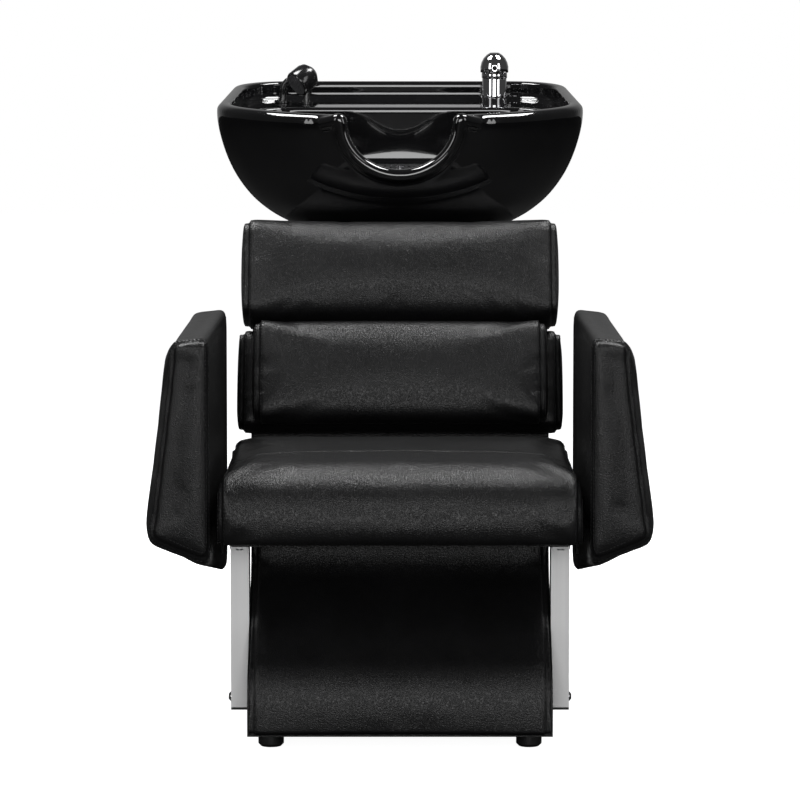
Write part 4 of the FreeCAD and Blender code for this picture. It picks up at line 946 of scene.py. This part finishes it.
@dataclass
class WashBowl:
    """The glazed bowl: smooth hull, rolled rim, deck, basin, sump and neck cut-out with its rolled lip."""

    title: str = "WashBowl"
    tilt: float = 5.4
    axis: Vector = Vector((0.0, 0.308, 0.668))
    rim: float = 0.2235
    height: float = 0.195
    half_width: float = 0.286
    front: float = 0.23
    back: float = 0.272
    nose: float = 0.105
    corner: float = 0.036
    run: float = 0.085
    back_corner: float = 0.085
    back_share: float = 0.955
    rim_width: float = 0.022
    wall: float = 0.014
    deck_depth: float = 0.028
    deck_thickness: float = 0.02
    deck_front: float = 0.125
    basin_depth: float = 0.117
    basin_half: float = 0.256
    basin_front: float = 0.206
    notch: float = 0.084
    notch_depth: float = 0.086
    notch_round: float = 0.01
    lip: float = 0.0105
    lip_sink: float = 0.0055
    lip_y: float = -0.2195
    drain_back: float = 0.06
    sump: Vector = Vector((0.144, 0.088, 0.026))
    strainer_seat: Vector = Vector((0.161, 0.105, 0.003))
    boss_inner: float = 0.0745
    boss_outer: float = 0.1225
    boss_half: float = 0.055
    over: float = 0.004
    voxel: float = 0.003
    relax: int = 9
    hull_shares: Table = (
        (0.0, 0.974, 0.966, 0.972), (0.041, 1.0, 1.0, 1.0), (0.25, 0.984, 0.993, 0.993),
        (0.51, 0.92, 0.957, 0.97), (0.72, 0.824, 0.88, 0.925), (0.87, 0.71, 0.76, 0.868),
        (1.0, 0.56, 0.59, 0.79))
    basin_shares: Table = (
        (0.0, 1.0, 1.0, 1.0), (0.6, 0.93, 0.965, 0.985), (0.88, 0.82, 0.89, 0.97), (1.0, 0.69, 0.79, 0.95))
    hull_steps: int = 8
    basin_steps: int = 6
    front_steps: int = 48
    corner_steps: int = 16
    side_steps: int = 12
    back_steps: int = 24
    neck_steps: int = 48
    bend_steps: int = 8
    neck_over: float = 0.04
    neck_ahead: float = 0.03
    neck_reach_share: float = 0.7
    lip_sides: int = 20
    lip_tail: Table = ((0.008, 0.004, 0.0035), (0.017, 0.009, 0.006), (0.027, 0.014, 0.009))
    rim_draw: Table = ((-0.004, 0.004), (0.0, -0.004))
    deck_draw: Table = ((0.0, 0.006), (0.002, 0.002), (0.006, 0.0))
    sump_over: float = 0.001

    @staticmethod
    def _arc(first: Vector, middle: Vector, last: Vector, steps: int) -> Loop:
        """Return points on the arc through three points, without its last point."""
        a, b = middle - first, last - first
        cross = a.cross(b)
        centre = first + (b.length_squared * cross.cross(a) * -1 + a.length_squared * cross.cross(b)) * (
            -1 / (2 * cross.length_squared))
        start = first - centre
        normal = cross.normalized()
        side = normal.cross(start)
        end = last - centre
        sweep = math.atan2(end.dot(side), end.dot(start)) % (2 * math.pi)
        return [centre + start * math.cos(sweep * step / steps) + side * math.sin(sweep * step / steps)
                for step in range(steps)]

    def plan(self, half: float, front: float, back: float, level: float) -> Loop:
        """Return the bowl's outline at one level.

        Args:
            half: half the width.
            front: reach to the front.
            back: reach to the back.
            level: height in the bowl's frame.

        Returns:
            The outline's points.
        """
        scale = half / self.half_width
        nose_y = self.nose * scale - front
        corner, run, rear = self.corner * scale, self.run * scale, self.back_corner * scale
        side_y = nose_y + run
        bend = (corner * corner + run * run) / (2 * corner)
        angle = math.asin(run / bend) / 2
        wide = half * self.back_share
        turn = rear * (1 - math.sqrt(0.5))
        nose_x = half - corner
        mid = (half - bend + bend * math.cos(angle), side_y - bend * math.sin(angle))

        def at(side: int, x: float, y: float) -> Vector:
            """Return a point of the left or right side."""
            return Vector((side * x, y, level))

        def run_of(first: Vector, last: Vector, steps: int) -> Loop:
            """Return points on a straight run, without its last point."""
            return [first.lerp(last, step / steps) for step in range(steps)]

        bends, sides = self.corner_steps, self.side_steps
        points = self._arc(at(-1, nose_x, nose_y), at(1, 0, -front), at(1, nose_x, nose_y), self.front_steps)
        points += self._arc(at(1, nose_x, nose_y), at(1, *mid), at(1, half, side_y), bends)
        points += run_of(at(1, half, side_y), at(1, wide, back - rear), sides)
        points += self._arc(
            at(1, wide, back - rear), at(1, wide - turn, back - turn), at(1, wide - rear, back), bends)
        points += run_of(at(1, wide - rear, back), at(-1, wide - rear, back), self.back_steps)
        points += self._arc(
            at(-1, wide - rear, back), at(-1, wide - turn, back - turn), at(-1, wide, back - rear), bends)
        points += run_of(at(-1, wide, back - rear), at(-1, half, side_y), sides)
        points += self._arc(at(-1, half, side_y), at(-1, *mid), at(-1, nose_x, nose_y), bends)
        return points

    @staticmethod
    def _even(rows: Sequence[Sequence[float]], count: int) -> list[list[float]]:
        """Return more rows of a table, on a smooth curve through the given ones.

        Args:
            rows: the table, its first column rising.
            count: steps between two rows.

        Returns:
            The finer table.
        """
        slopes = []
        for index in range(len(rows)):
            low, high = rows[max(index - 1, 0)], rows[min(index + 1, len(rows) - 1)]
            slopes.append([(b - a) / (high[0] - low[0]) for a, b in zip(low, high)])
        finer: list[list[float]] = []
        for index in range(len(rows) - 1):
            first, second = rows[index], rows[index + 1]
            gap = second[0] - first[0]
            for step in range(count):
                t = step / count
                shape = ((1 + 2 * t) * (1 - t) ** 2, t * (1 - t) ** 2 * gap,
                         t * t * (3 - 2 * t), t * t * (t - 1) * gap)
                finer.append([
                    shape[0] * a + shape[1] * u + shape[2] * b + shape[3] * v
                    for a, u, b, v in zip(first, slopes[index], second, slopes[index + 1])
                ])
        finer.append(list(rows[-1]))
        return finer

    def _hull(self, name: str, inset: float, top: float, over: float) -> Piece:
        """Return the outer form, or one inside it by an inset, from a depth below the rim."""
        rings = []
        for depth, width, front, back in self._even(self.hull_shares, self.hull_steps):
            if depth * self.height < top:
                continue
            level = self.rim - depth * self.height - (over if depth == 1.0 else 0.0)
            rings.append(self.plan(
                self.half_width * width - inset, self.front * front - inset, self.back * back - inset, level))
        return MeshBench.loft(name, rings)

    def _basin(self, name: str, grow: float, top: float, floor: float) -> Piece:
        """Return the basin's form, or one outside it by a wall."""
        rings = [
            self.plan(self.basin_half * width + grow, self.basin_front * front + grow,
                      self.deck_front * back + grow, top + share * (floor - top))
            for share, width, front, back in self._even(self.basin_shares, self.basin_steps)
        ]
        return MeshBench.loft(name, rings)

    def _neck_outline(self, grow: float) -> Loop:
        """Return the neck cut-out's lower edge from left to right, with corners that roll outwards.

        Args:
            grow: how far outside the opening.

        Returns:
            Points across and up, with Y nought.
        """
        half, deep = self.notch + grow, self.notch_depth - self.notch_round + grow
        level = self.rim - self.notch_round
        low = [
            Vector((-half * math.cos(turn), 0, level - deep * math.sin(turn)))
            for turn in (math.pi * step / self.neck_steps for step in range(self.neck_steps + 1))
        ]
        radius = self.notch_round - grow
        bend = [
            Vector((half + radius - radius * math.cos(turn), 0, level + radius * math.sin(turn)))
            for turn in (math.pi / 2 * step / self.bend_steps for step in range(1, self.bend_steps + 1))
        ]
        return [Vector((-p.x, 0, p.z)) for p in reversed(bend)] + low + bend

    def _neck(self) -> Piece:
        """Return the tool that cuts the neck opening."""
        outline = self._neck_outline(0.0)
        wide = outline[-1].x
        outline += [Vector((side * wide, 0, self.rim + self.neck_over)) for side in (1, -1)]
        reach = (-self.front - self.neck_ahead, -self.basin_front * self.neck_reach_share)
        rings = [[Vector((p.x, y, p.z)) for p in outline] for y in reach]
        return MeshBench.loft("NeckTool", rings)

    def _lip(self) -> Piece:
        """Return the rolled lip that follows the neck opening and fades into the rim."""
        path = [Vector((p.x, self.lip_y, p.z)) for p in self._neck_outline(self.lip_sink)]
        end = path[-1]
        tail = [
            Vector((end.x + reach, self.lip_y + sink, end.z - drop))
            for reach, sink, drop in self.lip_tail
        ]
        path = [Vector((-p.x, p.y, p.z)) for p in reversed(tail)] + path + tail
        return MeshBench.tube("LipTool", path, self.lip, self.lip_sides)

    def _well(self, name: str, size: Vector, grow: float, low: float, high: float) -> Piece:
        """Return a block round the drain, grown on its four sides, between two levels."""
        half = Vector((size.x / 2 + grow, size.y / 2 + grow))
        return MeshBench.block(name, Vector((-half.x, self.drain_back - half.y, low)),
                               Vector((half.x, self.drain_back + half.y, high)))

    def build(self, palette: Palette) -> None:
        """Make the bowl and dress it.

        Args:
            palette: the finishes.
        """
        deck = self.rim - self.deck_depth
        floor = self.rim - self.basin_depth
        sump_level = floor - self.sump.z
        bottom = self.rim - self.height
        obj = self._hull(self.title, 0.0, 0.0, 0.0)
        edge = self.rim_width
        draws = [(draw, self.rim + rise) for draw, rise in self.rim_draw]
        draws += [(draw, deck + rise) for draw, rise in self.deck_draw]
        recess = [
            self.plan(self.half_width - edge - draw, self.front - edge - draw, self.back - edge - draw, level)
            for draw, level in draws
        ]
        hollow = self._hull("HollowTool", self.wall, self.deck_depth + self.deck_thickness, self.over)
        keepers = [self._basin("ShellTool", self.wall, deck, floor - self.wall)]
        keepers.append(self._well("SumpShellTool", self.sump, self.wall, sump_level - self.wall, floor))
        for side in (-1, 1):
            low, high = sorted((side * self.boss_inner, side * self.boss_outer))
            keepers.append(MeshBench.block(
                "BossTool", Vector((low, -self.boss_half, bottom - 2 * self.over)),
                Vector((high, self.boss_half, floor))))
        for keeper in keepers:
            MeshBench.cut(hollow, keeper)
        tools = [MeshBench.loft("RecessTool", recess), self._basin("BasinTool", 0.0, deck + self.over, floor),
                 hollow, self._neck()]
        for size, level, rise in ((self.strainer_seat, floor - self.strainer_seat.z, self.over),
                                  (self.sump, sump_level, self.sump_over)):
            tools.append(self._well("WellTool", size, 0.0, level, level + size.z + rise))
        for tool in tools:
            MeshBench.cut(obj, tool)
        MeshBench.add(obj, self._lip())
        MeshBench.remesh(obj, self.voxel)
        MeshBench.smooth(obj, self.relax)
        turn = math.radians(self.tilt)
        for vert in obj.data.vertices:
            x, y, z = vert.co
            vert.co = self.axis + Vector((
                x, y * math.cos(turn) - z * math.sin(turn), y * math.sin(turn) + z * math.cos(turn)))
        obj.data.update()
        obj.data.shade_smooth()
        obj.data.materials.append(palette.slots["glaze"])
        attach(obj, BOWL)
        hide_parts("bowl")
        LOG.info("%s: %d points", self.title, len(obj.data.vertices))


@dataclass
class Hardware:
    """The carried-over pieces of wood, metal, plastic and rubber."""

    edge: float = 0.0006
    edge_steps: int = 2
    weld: float = 0.00001
    sharp: float = math.radians(32.0)
    softened: tuple[str, ...] = (
        "tap_body", "tap_ring", "tap_handle", "spray_head", "spray_rest", "spray_guide", "side_leg_left",
        "side_leg_right", "base_side_left", "base_side_right", "rear_access_panel", "column_bracket_left",
        "column_bracket_right", "foot_front_left", "foot_front_right", "foot_back_left", "foot_back_right",
        "leg_bolts")

    def build(self, palette: Palette) -> None:
        """Give every remaining node its finish, with broken edges where they show.

        Args:
            palette: the finishes.
        """
        slots = {part["node"]: part["material_slot"] for part in frame["record"]["subparts"]}
        for name, obj in frame["nodes"].items():
            obj.data.materials.clear()
            obj.data.materials.append(palette.slots[slots[name]])
            if name in self.softened:
                weld = obj.modifiers.new("Weld", "WELD")
                weld.merge_threshold = self.weld
                bevel = obj.modifiers.new("Edge", "BEVEL")
                bevel.width = self.edge
                bevel.segments = self.edge_steps
                bevel.limit_method = "ANGLE"
                bevel.angle_limit = self.sharp
        LOG.info("hardware: %d nodes", len(slots))


@dataclass
class Studio:
    """Pale floor, soft boxes and a camera at the photograph's angle."""

    eye: Vector = Vector((0.0, -5.525, 1.009))
    pitch: float = 5.84
    lens: float = 165.6
    sensor: float = 36.0
    floor_half: float = 14.0
    paper: Colour = grey(0.88)
    bounce: Colour = grey(0.03)
    paper_rough: tuple[float, float] = (0.7, 0.85)
    paper_cloud: tuple[float, float] = (0.96, 1.0)
    glow: float = 0.95
    sight_end: float = 60.0
    world_ways: tuple[float, float] = (0.5, 0.95)
    world_light: tuple[float, float] = (0.05, 0.22)

    def build(self) -> None:
        """Make the whole studio."""
        self._floor()
        self._world()
        for name, spot, aim, size, power, mirrored in (
            ("TopLeftBox", (-1.1, 0.3, 3.0), (0.0, -0.3, 0.4), (0.9, 1.0), 50.0, True),
            ("TopRightBox", (1.1, 0.3, 3.0), (0.0, -0.3, 0.4), (0.9, 1.0), 50.0, True),
            ("FrontBox", (0.0, -6.5, 1.4), (0.0, 0.0, 0.6), (3.0, 2.0), 85.0, True),
            ("LeftBox", (-2.4, -2.5, 1.8), (0.0, 0.0, 0.6), (1.1, 2.4), 22.0, True),
            ("RightBox", (2.4, -2.5, 1.8), (0.0, 0.0, 0.6), (1.1, 2.4), 22.0, True),
            ("BackBox", (0.0, 2.6, 2.4), (0.0, 0.2, 0.8), (2.4, 1.0), 30.0, False),
        ):
            self._box(name, Vector(spot), Vector(aim), size, power, mirrored)
        data = bpy.data.cameras.new("Camera")
        data.lens = self.lens
        data.sensor_width = self.sensor
        data.clip_end = self.sight_end
        camera = bpy.data.objects.new("Camera", data)
        camera.location = self.eye
        camera.rotation_euler = (math.radians(90.0 - self.pitch), 0.0, 0.0)
        bpy.context.scene.collection.objects.link(camera)
        bpy.context.scene.camera = camera

    def _floor(self) -> None:
        """Lay the floor, pale to the camera and dark to other rays."""
        reach = self.floor_half
        mesh = bpy.data.meshes.new("Floor")
        mesh.from_pydata([(-reach, -reach, 0), (reach, -reach, 0), (reach, reach, 0), (-reach, reach, 0)], [],
                         [(0, 1, 2, 3)])
        board = NodeBoard("PaleFloor")
        cloud = board.noise(board.place(), 2.0, 3.0)
        sight = board.add("ShaderNodeLightPath").outputs["Is Camera Ray"]
        seen = board.add("ShaderNodeMath", operation="MULTIPLY")
        board.join(sight, seen.inputs[0])
        board.join(board.ramp(cloud, *self.paper_cloud), seen.inputs[1])
        board.tint(seen.outputs["Value"], self.bounce, self.paper)
        board.rough(cloud, *self.paper_rough)
        board.set(Specular_IOR_Level=0.2)
        board.join(board.ramp(sight, 0.0, self.glow), board.shader.inputs["Emission Strength"])
        mesh.materials.append(board.material)
        MeshBench.object_of("Floor", mesh)

    def _world(self) -> None:
        """Set a white backdrop that lights the object dimly, and a little more from behind."""
        scene = bpy.context.scene
        world = bpy.data.worlds.new("Studio")
        scene.world = world
        world.use_nodes = True
        tree = world.node_tree
        tree.nodes.clear()
        add, join = tree.nodes.new, tree.links.new
        mix = add("ShaderNodeMixShader")
        dim, white = add("ShaderNodeBackground"), add("ShaderNodeBackground")
        for node, slot in ((dim, 1), (white, 2)):
            node.inputs["Color"].default_value = (*grey(1.0), 1.0)
            join(node.outputs["Background"], mix.inputs[slot])
        way = add("ShaderNodeSeparateXYZ")
        join(add("ShaderNodeTexCoord").outputs["Generated"], way.inputs["Vector"])
        behind = add("ShaderNodeMapRange")
        behind.interpolation_type = "SMOOTHSTEP"
        for word, pair in (("From", self.world_ways), ("To", self.world_light)):
            behind.inputs[f"{word} Min"].default_value, behind.inputs[f"{word} Max"].default_value = pair
        join(way.outputs["Y"], behind.inputs["Value"])
        join(behind.outputs["Result"], dim.inputs["Strength"])
        join(add("ShaderNodeLightPath").outputs["Is Camera Ray"], mix.inputs["Fac"])
        join(mix.outputs["Shader"], add("ShaderNodeOutputWorld").inputs["Surface"])
        scene.view_settings.view_transform = "Standard"

    @staticmethod
    def _box(name: str, spot: Vector, aim: Vector, size: tuple[float, float], power: float,
             mirrored: bool) -> None:
        """Hang one soft box.

        Args:
            name: its name.
            spot: its place.
            aim: the point that it faces.
            size: width and height.
            power: in watts.
            mirrored: whether glossy pieces show it.
        """
        data = bpy.data.lights.new(name, "AREA")
        data.shape = "RECTANGLE"
        data.size, data.size_y = size
        data.energy = power
        lamp = bpy.data.objects.new(name, data)
        lamp.visible_glossy = mirrored
        lamp.location = spot
        lamp.rotation_euler = (aim - spot).to_track_quat("-Z", "Y").to_euler()
        bpy.context.scene.collection.objects.link(lamp)


def main() -> None:
    """Build every sub-assembly in order."""
    logging.basicConfig(level=logging.INFO, format="%(message)s")
    palette = Palette()
    Hardware().build(palette)
    WashBowl().build(palette)
    Upholstery(palette).build()
    Studio().build()


if __name__ == "__main__":
    main()
